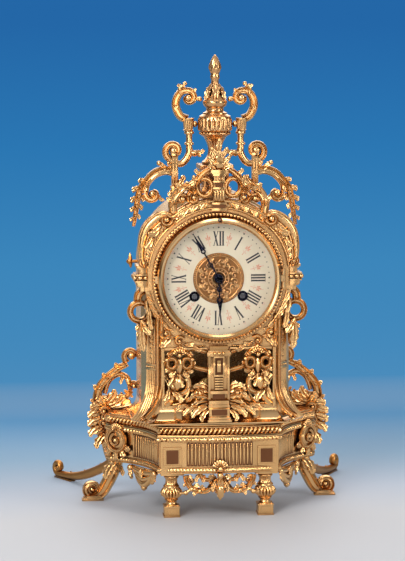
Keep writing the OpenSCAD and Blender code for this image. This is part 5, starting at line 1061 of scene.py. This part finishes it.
def build_crest_centre():
    low = DIAL_Z + PANEL_R
    plane = Plane(PANEL_D - 2.2, z=low)
    cast, dark, half = Casting(plane), Casting(plane), Casting(plane)
    cast.slabs(((6.5, -5, -3.2, 4.6, 2.8), (5.6, -3.4, 0.4, 4.4, 2.2), (6.3, 0.2, 1.6, 4.6, 3),
        (4.6, 1.2, 24.4, 4.4, 1.8), (5.6, 12.6, 14, 4.6, 3.2), (5.4, 18, 19.2, 4.6, 3.2),
        (4.6, 19, 23.4, 4.6, 2.8), (5.6, 23.2, 25, 4.8, 3.6), (7.4, 25.8, 28.2, 5.4, 4.2),
        (6.4, 24.8, 26, 5, 3.8)), 0.35)
    for k in range(4):
        cast.add(pod((-3.3 + 2.2 * k, 3, 2), (-3.3 + 2.2 * k, 12.4, 2), 1.1, 1.1, 8, 8))
    for k in range(3):
        cast.add(block(-3.4 + 2.6 * k, -1.8 + 2.6 * k, 19.4, 23, 4, 3.8, 0.3))
    # Dark plates in the recesses: painted shade, with some patina.
    dark.slabs(((3.2, 14.2, 17.8, 1, 2.2), (5.2, -2.8, -0.4, 1, 2.6)), 0.2)
    # Plume of leaves over the ledge
    cast.add(pod((0, 27, 0), (0, 42, 0), 5.4, 3.6, 9, 14, 5))
    cast.leaves((((0, 27), (0, 44), 8, -0.6), ((0, 38), (0.5, 53), 5.6, 0.6),
        ((-2, 28), (-8, 38), 6, -0.6), ((2, 28), (8, 38), 6, 0.6), ((-1.5, 35), (-6.6, 45.4), 5, -0.6),
        ((1.5, 35), (6.6, 45.4), 5, 0.6), ((-3, 28), (-9.4, 31.6), 5, -0.6),
        ((3, 28), (9.4, 31.6), 5, 0.6)), 1.4, 3, 1.6, 2)
    for x, y in ((-7.8, 38), (7.8, 38), (-6, 45), (6, 45), (0, 52), (-3.4, 33), (3.4, 33)):
        cast.add(ball((x, y, 2.4), 1.7))
    # Pierced oval, its brow and the leaf over it
    half.add(sweep(oval(6, 7.2, (11.7, 14), step=15), (3.4, 3.4), (4.2, 4.2)))
    brow = smooth([(7, 29), (11.6, 26.4), (17, 21), (20.4, 13), (19.4, 6)], 7)
    half.add(sweep(brow, (3, 4.6, 4), (4.4, 4.4)))
    volute(half, (20.4, 5.4), 6, 1.4, 110, -250, (4, 2.6), (4.6, 4.6), eye=1.6)
    horn = smooth([(20, 9.6), (26, 14.6), (33, 10.6), (38, 1), (36.4, -11)], 7)
    half.add(sweep(horn, (4, 6.4, 5.6), (5, 5, 5)))
    volute(half, (30, 4.4), 4.6, 1.6, 200, -110, (3.4, 2.4), (4.4, 4.4), eye=1.5)
    for i in (7, 14, 21):
        half.add(acanthus(beside(horn, i, 1, 3, 0), beside(horn, i, 1, -4.6, 5.4), 5.6, 1, 1.2, 2, 1))
    half.add(acanthus((24, 12), (20.4, 22), 6, 0.8, 1.4, 3, 0.6))
    half.add(acanthus((15, 24), (19.6, 29), 4.4, -0.6, 1.4, 2, 0.6))
    half.add(ball((20.6, 22.4, 1.4), 1.6))
    # Sheet of leaves that runs round the beads
    half.plane = Plane(PANEL_D - 2.2, z=DIAL_Z)
    span = range(50, 88, 2)
    root = [point(polar(BEAD_R + 2.8, a)) for a in span]
    rim = [point(polar(BEAD_R + 10.6 + 2.4 * sind(4.7 * (a - 50)), a)) for a in span]
    relief_sheet(half, root, rim, SHEET_FACE, -5)
    for r, out in ((BEAD_R + 4, 1), (BEAD_R + 9.4, 1.6)):
        half.add(sweep([Vector((*polar(r, a), out)) for a in range(86, 50, -3)], (1.7, 1.7), (2, 2), ROUND))
    for a in (84, 76, 68, 60):
        half.add(acanthus(polar(BEAD_R + 10.6, a + 1), polar(BEAD_R + 5, a - 9), 6.4, 1.2, 1.4, 3, 0.8, 2))
    cast.both(half)
    cast.piece("crest_centre_cast", GILT, replaces=["crest_centre"], angle=50)
    dark.piece("crest_recesses", PATINA_AND_SHADE)


def build_crest_sides():
    """The pierced scrolls beside the urn, drawn round the upright line through their ring."""
    cast = Casting(Plane(URN_D, RING_X, z=HOOD_TOP))
    ring = (0, 33)
    t = 5
    tube = smooth([(-13, 35), (-12.8, 31), (-9.6, 25), (-4.7, 22.2), polar(8, -62, ring)], 7)
    cast.add(sweep(tube, (5.8, 5.8, 5), (t, t), ROUND))
    volute(cast, ring, 7.6, 2.4, -62, 300, (5, 3.6), (t, t), eye=1.5, rise=1)
    cast.add(block(-3.4, 1.8, -2, 30, 5.4, 2.7, 0.8))
    for k in (0, 1):
        cast.add(pod((-2 + 2.4 * k, 1, 2.4), (-2 + 2.4 * k, 29, 2.4), 0.9, 0.9, 8, 8))
    cast.add(block(-4.2, 2.6, 29, 31.4, 6.4, 3.2, 0.6))
    cast.add(block(-4.2, 2.6, 2, 4.2, 6.4, 3.2, 0.6))
    cast.add(pod((-1, 3, 0), (-1.6, -13, 0), 4, 2.4, 8, 14, 5))
    arch = smooth([(-1, 15), (7, 17), (16, 14), (23, 6), (24, -2)], 8)
    cast.add(sweep(arch, (6, 6.4, 5.4), (t, t)))
    volute(cast, (17.6, -2.4), 6.4, 2, 0, -250, (5, 3.4), (t, t), eye=1.6)
    branch = smooth([(20, 11), (27, 3), (30, -7), (31.6, -18), (33.4, -29)], 8)
    cast.add(sweep(branch, (5.2, 4.4, 2.2), (4.6, 4.2, 2.6)))
    for i, side, size in ((4, 1, 5.6), (9, 1, 6.4), (15, 1, 6), (21, 1, 5), (27, 1, 4), (6, -1, 5),
            (13, -1, 6), (19, -1, 5.4), (25, -1, 4.4)):
        tip = beside(branch, i, side, size * 0.7, size * 0.9)
        cast.add(acanthus(beside(branch, i, side, 0, -1), tip, size * 0.95, side * 1.2, 1.4, 2, 0.6))
    cast.leaves((((6, 17), (12.6, 23), 4.6, 0.8), ((2, 16), (4.6, 23.4), 4.2, 0.8),
        ((-3, 4), (-8.4, 13), 6, 0.8), ((-5, 2), (-12, 7.6), 5, 0.8), ((14, -3), (8, -8), 4.4, 0.8),
        ((-1, 1), (4.6, -4.4), 4.4, 0.8)), 1.2, 2, 1)
    cast.add(ball((12.4, 23, 1.6), 2))
    cast.add(ball((4.4, 23.2, 1.4), 1.5))
    cast.add(sweep(smooth([(-2, 2), (-9, 4), (-14, -1)], 7), (4.8, 3), (t, t)))
    # Leafy link to the urn's stem
    cast.add(acanthus((-13.2, 30), (-25.6, 33.6), 5.4, 1, 1, 3, 0.6))
    cast.add(acanthus((-14.2, 31), (-22.6, 28.4), 4.6, -1, 1, 2, 0.6))
    cast.add(pod((-12.8, 31, 0), (-24.2, 31.6, 0), 2.8, 1.8, 8, 12))
    cast.two_pieces("crest_SIDE_cast", GILT, ["crest_SIDE"], 50)


def inset(points):
    """A profile whose radii are given as distances in from the urn's rim."""
    return [(URN_R - i, z) for i, z in points]


def build_pedestal():
    w = PEDESTAL_HALF_W
    foot = HOOD_TOP - URN_Z
    cast, dark = Casting(Plane(URN_D, z=URN_Z)), Casting()
    for half, a, b in ((w, -3.6, -0.1), (w - 1, -4.6, -3.4), (w - 2.2, -7, -4.4),
            (w - 3.6, foot - 2, -6.8), (w - 1.6, foot - 2, foot + 2.6),
            (w - 2.4, foot + 2.4, foot + 3.8)):
        cast.add(slab(half, a, b, 2 * half, half, 0.5))
    # Dark sunk panels on its four faces: painted shade, with some patina.
    for turn in (0, 90, 180, 270):
        dark.add(slab(w - 5.4, foot + 5.2, -8, 1, w - 3.3, 0.4), Plane(URN_D, 0, turn, URN_Z))
    cast.piece("urn_pedestal_cast", URN_SHADED_GILT, replaces=["urn_pedestal"])
    dark.piece("urn_pedestal_panels", PATINA_AND_SHADE)


def build_urn_body():
    profile = [(0.05, 0.02)] + inset([(3.5, 0.02), (3.4, 0.5), (3.5, 1.9), (4.6, 2.6), (5.2, 3.2),
        (6.6, 4.6), (7.8, 7), (8.5, 9), (8.8, 11), (8.7, 13.2), (8.3, 15), (7.2, 18), (6, 20.5),
        (4.8, 22.6), (2.8, 23.8), (2, 24.4), (1.9, 25.5), (2.4, 26.4), (1.6, 27), (0.4, 27.8), (0, 28.8),
        (0, 32), (0, 35.6), (0.3, 37), (1.4, 38.6), (1.3, 39.4), (3.2, 40.6), (4.2, 41.2), (4.3, 42.3),
        (6, 43), (7, 43.6), (7.2, 45), (7, 46.6), (5.6, 47.5)]) + [(0.05, 47.5)]

    def ribs(a, z):
        if 28 < z < 37.4:
            groove = 1 - abs(math.cos(10 * a)) ** 0.7
            return 1 - 0.1 * groove * min(1, (z - 28) / 1.4) * min(1, (37.6 - z) / 1.2)
        if 4 < z < 22.8:
            return 1 - 0.1 * (1 - abs(math.cos(6 * a))) * math.sin(math.pi * (z - 4) / 19)
        return 1

    cast = Casting(Plane(URN_D, z=URN_Z))
    cast.add(turned(profile, 160, ribs))
    for k in range(20):
        x, out = polar(URN_R - 2.1, 18 * k)
        cast.add(ball((x, 25.5, out), 1.15, 1, 5, 8))
    cast.piece("urn_body_fluted", URN_SHADED_GILT, replaces=["urn_body"], angle=52)


def build_lid():
    profile = [(0.05, 0.02)] + inset([(5.4, 0.02), (4.7, 1.2), (4.2, 3), (4.3, 4.2), (5.4, 5.4), (6, 6.4),
        (7.6, 9), (9, 12.4), (10.2, 15.4), (11, 18), (11.3, 21.4), (10.8, 22.4), (10.4, 23.4), (10.5, 25),
        (11, 26.2), (10, 28.4), (8.9, 30.6), (8.8, 32), (9.6, 34.6), (10.6, 37), (12.2, 40), (13.4, 41.8),
        (14, 42.36)]) + [(0.05, 42.38)]

    def lobes(a, z):
        if 4.6 < z < 21:
            return 1 - 0.24 * (1 - abs(math.cos(3 * a)) ** 0.8) * math.sin(math.pi * (z - 4.6) / 16.6)
        if 26.5 < z < 40:
            return 1 - 0.16 * (1 - abs(math.cos(4 * a + 0.35 * z)))
        return 1

    cast, vent_shade = Casting(Plane(URN_D, z=LID_Z)), Casting(Plane(URN_D, z=LID_Z))
    cast.add(turned(profile, 128, lobes))
    for k in range(6):
        face = Plane(URN_D, 0, 60 * k, LID_Z)
        cast.add(acanthus((0, 4.6), (0, 19), 7, 0, -6.4, 4, URN_R - 6, 1.4), face)
        cast.add(acanthus((0, 27), (0, 34), 3.6, 0, 0.8, 2, URN_R - 11.2, 0.8), face)
    cast.piece("urn_lid_leafy", URN_SHADED_GILT, replaces=["urn_lid"], angle=52)
    # A black bead stands for the vent's opening: painted shade.
    vent_shade.add(ball((0.2, 3.3, URN_R - 4.9), 1.2, 0.7))
    vent_shade.piece("urn_lid_vent_shade", INK)


def build_handles():
    cast = Casting(Plane(URN_D, URN_SIDE_X, z=URN_Z))
    cap = [(0.05, 27.4), (3.8, 27.4), (4.2, 28.2), (3.6, 28.8), (4.0, 30), (4.5, 35.4), (4.4, 36.2),
        (4.8, 36.8), (4.7, 37.9), (0.05, 38)]
    stem = [(0.05, 13), (2.7, 13), (2.6, 15.8), (3.9, 16.1), (4.0, 16.9), (3.7, 17.6), (2.7, 18.2),
        (2.5, 21), (2.7, 24.6), (4.0, 25), (4.2, 26), (3.9, 27), (3, 27.6), (0.05, 27.6)]
    cast.add(turned(cap, 72, lambda a, h: 1 - (0.16 * (1 - abs(math.cos(6 * a)) ** 0.6)
        if 29 < h < 36 else 0)))
    cast.add(turned(stem, 48, x=-0.6))
    arm = smooth([(1, 37), (6.6, 39.6), (10.2, 47), (9.6, 54), (5.8, 59.4), (1.2, 60.6)], 8)
    cast.add(sweep(arm, (5.8, 5.6, 4.8), (5, 5, 4.6)))
    volute(cast, (0, 54.4), 6.2, 2, 78, 380, (4.6, 3.2), (4.6, 4), eye=1.6)
    bud = smooth([(6.4, 57.6), (7.2, 61.6), (5, 64.8)])
    cast.add(sweep(bud, (2.6, 3.2, 4.6), (3, 3.4, 4.4), ROUND))
    cast.leaves((((6, 62.6), (9.4, 65.2), 3.4, 0.4), ((6, 63), (3, 66.8), 3.4, 0.4),
        ((9, 49), (11.6, 44), 3.4, 0.4), ((-2, 59.6), (-6.4, 62), 3.2, 0.4)), 0.8, 2, 1)
    cast.add(ball((2.8, 66.2), 1.8))
    cast.add(pod((-5, 54), (URN_R - 4 - URN_SIDE_X, 53.2), 2, 1.7, 7, 12))
    cast.add(ball((-9.4, 53.4), 2.1))
    cast.add(pod((-3, 33), (URN_R - 0.2 - URN_SIDE_X, 33), 3, 2.4, 7, 12))
    cast.two_pieces("urn_handle_SIDE", GILT, ["urn_handles"], 50)


# ---------------------------------------------------------------- dial and side sashes

FACE_D = 7.5  # depth of the enamel's face
SQUARE_X, SQUARE_Z = 19.85, -14.8  # the winding squares' places from the dial's centre


def flat(outline):
    return plate(outline, 0.07, 0.07)


def stroke(a, b, w):
    """A straight stroke between two points, w wide, square to the line that the figures stand on."""
    return [(a[0] - w / 2, a[1]), (a[0] + w / 2, a[1]), (b[0] + w / 2, b[1]), (b[0] - w / 2, b[1])]


def figure_strokes(word, height):
    """Strokes of a roman number, centred on 0 and standing on 0."""
    widths = {"I": 2.0, "V": 4.5, "X": 4.7}
    gap, thick, thin, serif = 0.3, 1.3, 0.55, 0.4
    x = -(sum(widths[c] for c in word) + gap * (len(word) - 1)) / 2
    out = []
    for c in word:
        w = widths[c]
        m = x + w / 2
        if c == "I":
            out.append(stroke((m, 0), (m, height), thick))
            serifs = ((m, 0, w), (m, height - serif, w))
        elif c == "V":
            out.append(stroke((m + 0.2, 0), (x + 0.9, height), thick))
            out.append(stroke((m + 0.2, 0), (x + w - 0.6, height), thin))
            serifs = ((x + 0.9, height - serif, 1.9), (x + w - 0.6, height - serif, 1.4))
        else:
            out.append(stroke((x + w - 0.9, 0), (x + 0.9, height), thick))
            out.append(stroke((x + 0.7, 0), (x + w - 0.7, height), thin))
            serifs = ((x + 0.9, height - serif, 1.8), (x + w - 0.7, height - serif, 1.3),
                (x + 0.7, 0, 1.3), (x + w - 0.9, 0, 1.8))
        out += [stroke((u, h), (u, h + serif), s) for u, h, s in serifs]
        x += w + gap
    return out


def turned_out(points, a, r):
    """Moves a drawing from its own base line to radius r at a clock angle a."""
    return [(u * cosd(a) + (v + r) * sind(a), (v + r) * cosd(a) - u * sind(a)) for u, v in points]


def dot(r, c, step=60):
    return flat([polar(r, b, c) for b in range(0, 360, step)])


def build_dial_print():
    ink, rose = Casting(Plane(FACE_D, z=DIAL_Z)), Casting(Plane(FACE_D, z=DIAL_Z))
    for hour, word in enumerate(("XII", "I", "II", "III", "IIII", "V", "VI", "VII", "VIII", "IX", "X",
            "XI")):
        for s in figure_strokes(word, 12.0):
            ink.add(flat(turned_out(s, 30 * hour, 26.8)))
    for k in range(60):
        ink.add(dot(0.46 if k % 5 else 0.7, polar(41.9, 6 * k), 45))
    # Small cross between dots at the five minutes, and a fleur between the figures
    fleur_r = 32.6
    for a in range(0, 360, 30):
        for p in ((0, 1.5), (0.9, 0.6), (-0.9, 0.6)):
            rose.add(dot(0.34, turned_out([p], a, 42.2)[0]))
        for tilt, length, w in ((0, 4.6, 1.3), (38, 3.6, 1.1), (-38, 3.6, 1.1), (72, 2.4, 0.8),
                (-72, 2.4, 0.8)):
            leaf = [(0, 0.4), (w / 2, length * 0.55), (w * 0.3, length * 0.85), (0, length),
                (-w * 0.3, length * 0.85), (-w / 2, length * 0.55)]
            rose.add(flat(turned_out(turned_out(leaf, tilt, 0), a + 15, fleur_r)))
        rose.add(flat(turned_out([(-0.2, -4.6), (0.2, -4.6), (0.2, 0.6), (-0.2, 0.6)], a + 15, fleur_r)))
        for p in ((-1.2, -2.4), (1.2, -2.4), (0, -5), (0, 5.4)):
            rose.add(dot(0.42, turned_out([p], a + 15, fleur_r)[0]))
    ink.piece("dial_figures", INK, slot="enamel")
    rose.piece("dial_fleurs", ROSE, slot="enamel")

    # Black collets round the winding squares
    cast = Casting(Plane(FACE_D, z=DIAL_Z))
    for side in (-1, 1):
        collet = oval(3.3, 3.3, (side * SQUARE_X, SQUARE_Z), 0.3)
        cast.add(sweep(collet, (2.1, 2.1), (1.2, 1.2), ROUND))
    cast.piece("winding_collets", BLUED, slot="blued_steel")


def build_dial_centre():
    """Chased gilt centre: scrolls and leaves between two ropes, open at the winding squares."""
    cast = Casting(Plane(7.15, z=DIAL_Z))
    squares = [Vector((side * SQUARE_X, SQUARE_Z)) for side in (-1, 1)]

    def clear(a, r):
        return all((Vector(polar(r, a)) - s).length > 5.2 for s in squares)

    for a in range(0, 360, 5):
        if clear(a, 20.1):
            cast.add(pod((*polar(19.5, a - 1.6), 0.2), (*polar(20.4, a + 1.6), 0.2), 0.62, 0.62, 5, 6))
    for r, w in ((18.6, 1.0), (8.4, 1.2), (5.6, 1.3)):
        cast.add(sweep(oval(r, r, out=0.1, step=6), (w, w), (1.2, 1.2), ROUND))
    for k in range(8):
        a = 45 * k + 22.5
        for s in (-1, 1):
            eye = polar(13.6, a + s * 11.2)
            start = a + 90 * s + 90
            if clear(a + s * 11.2, 16):
                cast.add(sweep(spiral(eye, 3.1, 0.9, start, start - s * 330, 22, 0, 0.4), (1.5, 0.9),
                    (1.6, 1.2), ROUND))
                cast.add(ball((*eye, 0.3), 1.05, 0.8, 5, 8))
        if clear(a, 17.6):
            cast.add(acanthus(polar(12.6, a), polar(18, a), 4, 0, 0.3, 3, 0.1, 0.6))
        cast.add(acanthus(polar(9.2, a), polar(11.8, a), 3, 0, 0.3, 2, 0.1, 0.6))
        for b in (a, a + 22.5):
            cast.add(ball((*polar(7, b), 0.3), 0.8, 1, 5, 8))
    cast.piece("dial_centre_relief", GILT, angle=60)


def build_bead_row():
    """Row of beads round the bezel, open where the hinge works."""
    cast = Casting(Plane(PANEL_D, z=DIAL_Z))
    bed = [Vector((*polar((BEAD_R + 51.5) / 2, a), 0.9)) for a in range(11, 350, 3)]
    cast.add(sweep(bed, (3.4, 3.4), (1.8, 1.8), [(-1, -1), (-1, 0.6), (-0.8, 1), (0.8, 1), (1, 0.6),
        (1, -1)]))
    n = 112
    for k in range(n):
        a = 360 * (k + 0.5) / n
        if 10.6 < a < 349.4:
            cast.add(pod((*polar(BEAD_R - 3.9, a), 1.7), (*polar(BEAD_R + 0.5, a), 1.7), 1.42, 1.42, 7, 10))
    cast.piece("bead_row", GILT, replaces=["bead_ring"], angle=60)


def build_sashes():
    """Reeded sashes on the canted corners and the frame's mouldings, which sweep out at the foot."""
    reeded = [(-1, -0.6), (-1, 0.5), (-0.9, 1), (-0.78, 0.5), (-0.7, 0.1)]
    for u in (-0.48, -0.16, 0.16, 0.48):
        reeded += [(u - 0.14, 0.15), (u - 0.08, 0.75), (u, 0.95), (u + 0.08, 0.75), (u + 0.14, 0.15)]
    reeded += [(0.7, 0.1), (0.78, 0.5), (0.9, 1), (1, 0.5), (1, -0.6)]
    dial = DIAL_Z - CASE_Z
    cast = Casting(Plane(17.5, 53.5, 50.7, CASE_Z))
    path = [(0, dial - 20, 0.4), (0, dial - 50, 0.4), (0, 30, 0.4), (0, 18, 0.8), (0, 9, 2.4),
        (0, 1, 6.4), (0, -6, 11.2), (0, -10.6, 16.6)]
    cast.add(sweep(smooth(path), (12.4, 12.6, 17), (2.6, 2.8, 3.4), reeded))
    for h in (dial - 34, 34, 30.6):
        cast.add(slab(6.6, h, h + 1.8, 2.6, 2.1, 0.4))
    for k in range(6):
        cast.add(ball((-5 + 2 * k, 33.2, 1.9), 0.95, 1, 5, 8))
    for k in range(7):
        cast.add(acanthus((0, dial - 37 - 4 * k), (0, dial - 43 - 4 * k), 5.4 - 0.4 * k, 0, 0.8, 2, 1.4, 1))
    front = Plane(PANEL_D, z=CASE_Z)
    for x, w, t, o in ((47.2, 3.0, 3.2, 0.9), (50.4, 2.6, 3.0, 0.6)):
        edge = smooth([(x, dial - 31, o), (x, dial - 50, o), (x, 26, o), (x + 0.4, 16, o + 0.2),
            (x + 2.6, 7, o + 1.2), (x + 7, -1, o + 4), (x + 13.4, -7, o + 7)])
        cast.add(sweep(edge, (w, w, w * 1.3), (t, t, t * 1.2)), front)
    cast.add(plate([(50.5, 12), (54.8, 2), (60.5, -5.4), (54, -8), (49, -4), (48.6, 4)], 3, 1.2, 0.5),
        front)
    cast.two_pieces("sash_SIDE", GILT, angle=50)


def build_side_knobs():
    """Turned knob that stands out from each side of the case at its back."""
    cast = Casting(Plane(CASE_BACK_D - 3, HOOD_R, z=DIAL_Z + 7))
    cast.add(sweep([point((x, 0)) for x in (-1, 2, 4)], (3, 2.4), (3, 2.4), ROUND))
    cast.add(pod((3.4, 0), (8.6, 0), 3, 2.2, 8, 14))
    cast.add(pod((4.6, -6), (5.4, 7.4), 2, 1.6, 8, 12, 5))
    # The knob takes the darker gilt of the back: painted shade.
    cast.two_pieces("side_knob_SIDE", BACK_SHADED_GILT)


def finish_nodes():
    """Gives the CAD's own nodes their materials."""
    slots = {s["node"]: s["material_slot"] for s in frame["record"]["subparts"]}
    for name, obj in frame["nodes"].items():
        obj.data.materials.clear()
        obj.data.materials.append(NODE_MATERIAL.get(name) or SLOT_MATERIAL[slots[name]])


# ---------------------------------------------------------------- stage, light and camera


def srgb(r, g, b):
    return tuple(((c / 255 + 0.055) / 1.055) ** 2.4 for c in (r, g, b))


# Colours of the sweep from the near floor up the backdrop, by the share of its length
BACKDROP = [(0.08, srgb(206, 207, 211)), (0.105, srgb(188, 197, 211)), (0.14, srgb(140, 174, 202)),
    (0.19, srgb(80, 142, 188)), (0.3, srgb(69, 138, 188)), (0.43, srgb(60, 134, 187)),
    (0.545, srgb(43, 119, 179)), (0.65, srgb(36, 103, 167))]
LIT = 1.3  # level of the light that falls on the floor
SWEEP_HALF_W, SWEEP_BACK, SWEEP_R = 3.2, 0.9, 1.2  # metres


def add_math(nodes, links, operation, a, b):
    n = nodes.new("ShaderNodeMath")
    n.operation = operation
    links.new(a, n.inputs[0])
    links.new(b, n.inputs[1])
    return n.outputs["Value"]


def add_mix(nodes, links, factor, a, b):
    n = nodes.new("ShaderNodeMixShader")
    links.new(factor, n.inputs["Fac"])
    links.new(a, n.inputs[1])
    links.new(b, n.inputs[2])
    return n.outputs["Shader"]


def floor_material():
    m = bpy.data.materials.new("pale_floor")
    m.use_nodes = True
    nodes, links = m.node_tree.nodes, m.node_tree.links
    p = nodes["Principled BSDF"]
    p.inputs["Roughness"].default_value = 0.6
    p.inputs["Specular IOR Level"].default_value = 0.25
    parts = nodes.new("ShaderNodeSeparateXYZ")
    links.new(nodes.new("ShaderNodeTexCoord").outputs["Object"], parts.inputs["Vector"])
    # Distance along the sweep: depth plus height
    run = add_math(nodes, links, "ADD", parts.outputs["Y"], parts.outputs["Z"])
    share = add_range(nodes, links, run, From_Min=-0.4, From_Max=3.6)
    tint = add_ramp(nodes, links, share, BACKDROP)
    near = [(at, tuple(c / LIT for c in colour)) for at, colour in BACKDROP[:4]]
    links.new(add_ramp(nodes, links, share, near + [(0.26, (0.42, 0.4, 0.38))]), p.inputs["Base Color"])
    # Far from the clock the sweep glows with these colours for camera and transmission rays, in place of
    # lamp light: painted light.
    glow = nodes.new("ShaderNodeEmission")
    links.new(tint, glow.inputs["Color"])
    rays = nodes.new("ShaderNodeLightPath").outputs
    seen = add_math(nodes, links, "MAXIMUM", rays["Is Camera Ray"], rays["Is Transmission Ray"])
    # The floor near the clock stays lit, so that it keeps the shadow
    far = add_range(nodes, links, run, From_Min=0.2, From_Max=0.6)
    both = add_math(nodes, links, "MULTIPLY", seen, far)
    front = add_mix(nodes, links, both, p.outputs["BSDF"], glow.outputs["Emission"])
    # The sweep is clear from behind, so that the clock's back shows
    behind = nodes.new("ShaderNodeNewGeometry").outputs["Backfacing"]
    clear = nodes.new("ShaderNodeBsdfTransparent").outputs["BSDF"]
    whole = add_mix(nodes, links, behind, front, clear)
    links.new(whole, nodes["Material Output"].inputs["Surface"])
    return m


def build_stage():
    mesh = bpy.data.meshes.new("floor")
    profile = [(-2.4, 0.0), (SWEEP_BACK, 0.0)]
    profile += [(SWEEP_BACK + SWEEP_R * sind(a), SWEEP_R * (1 - cosd(a))) for a in range(6, 91, 6)]
    profile.append((SWEEP_BACK + SWEEP_R, 4.0))
    pts = [(x, y, z) for y, z in profile for x in (-SWEEP_HALF_W, SWEEP_HALF_W)]
    mesh.from_pydata(pts, [], quads(len(profile), 2, wrap_m=False))
    mesh.shade_smooth()
    mesh.materials.append(floor_material())
    floor = bpy.data.objects.new("floor", mesh)
    bpy.context.collection.objects.link(floor)


def area(name, at, target, size, power, colour=(1, 1, 1)):
    data = bpy.data.lights.new(name, "AREA")
    data.shape = "RECTANGLE"
    data.size, data.size_y = size
    data.energy = power
    data.color = colour
    obj = bpy.data.objects.new(name, data)
    obj.location = at
    obj.rotation_euler = (Vector(target) - Vector(at)).to_track_quat("-Z", "Y").to_euler()
    bpy.context.collection.objects.link(obj)


def build_light():
    world = bpy.data.worlds.new("studio")
    bpy.context.scene.world = world
    world.use_nodes = True
    nodes, links = world.node_tree.nodes, world.node_tree.links
    parts = nodes.new("ShaderNodeSeparateXYZ")
    links.new(nodes.new("ShaderNodeTexCoord").outputs["Generated"], parts.inputs["Vector"])
    height = add_range(nodes, links, parts.outputs["Z"], From_Min=-1)
    sky = add_ramp(nodes, links, height, [(0.42, (0.05, 0.035, 0.028)), (0.55, (0.1, 0.085, 0.075)),
        (0.72, (0.42, 0.42, 0.43)), (1.0, (0.62, 0.63, 0.66))])
    links.new(sky, nodes["Background"].inputs["Color"])
    # Beyond the sweep the camera sees a plain pale blue
    plain = nodes.new("ShaderNodeBackground")
    plain.inputs["Color"].default_value = (0.42, 0.53, 0.64, 1)
    seen = nodes.new("ShaderNodeLightPath").outputs["Is Camera Ray"]
    pick = add_mix(nodes, links, seen, nodes["Background"].outputs["Background"],
        plain.outputs["Background"])
    links.new(pick, nodes["World Output"].inputs["Surface"])
    area("key", (-1.0, -1.5, 1.25), (0, 0, 0.2), (0.7, 0.9), 27, (1, 0.98, 0.95))
    area("fill", (1.35, -1.1, 0.75), (0, 0, 0.18), (0.35, 0.9), 10, (1, 0.98, 0.96))
    area("top", (0.1, 0.1, 1.6), (0, 0, 0.2), (0.9, 0.7), 8)
    area("back", (0, 1.15, 0.86), (0, 0, 0.25), (1.7, 0.7), 8)
    area("low", (-0.5, -1.8, 0.26), (0, 0, 0.1), (1.7, 0.24), 6.5, (1, 0.96, 0.9))


def build_camera():
    data = bpy.data.cameras.new("camera")
    data.lens = 135.7
    data.sensor_width = 36
    data.clip_end = 50
    cam = bpy.data.objects.new("camera", data)
    cam.location = (-0.206, -1.782, 0.407)
    cam.rotation_euler = (math.radians(90 - 6.99), 0, math.radians(-6.44))
    bpy.context.collection.objects.link(cam)
    bpy.context.scene.camera = cam


bpy.context.scene.view_settings.view_transform = "Standard"
finish_nodes()
for build in (build_base, build_front_feet, build_corner_feet, build_rear_feet, build_front_apron,
        build_side_aprons, build_brackets, build_front, build_shoulders, build_panel_relief,
        build_crest_centre, build_crest_sides, build_pedestal, build_urn_body, build_lid, build_handles,
        build_dial_print, build_dial_centre, build_bead_row, build_sashes, build_side_knobs, build_stage,
        build_light, build_camera):
    build()
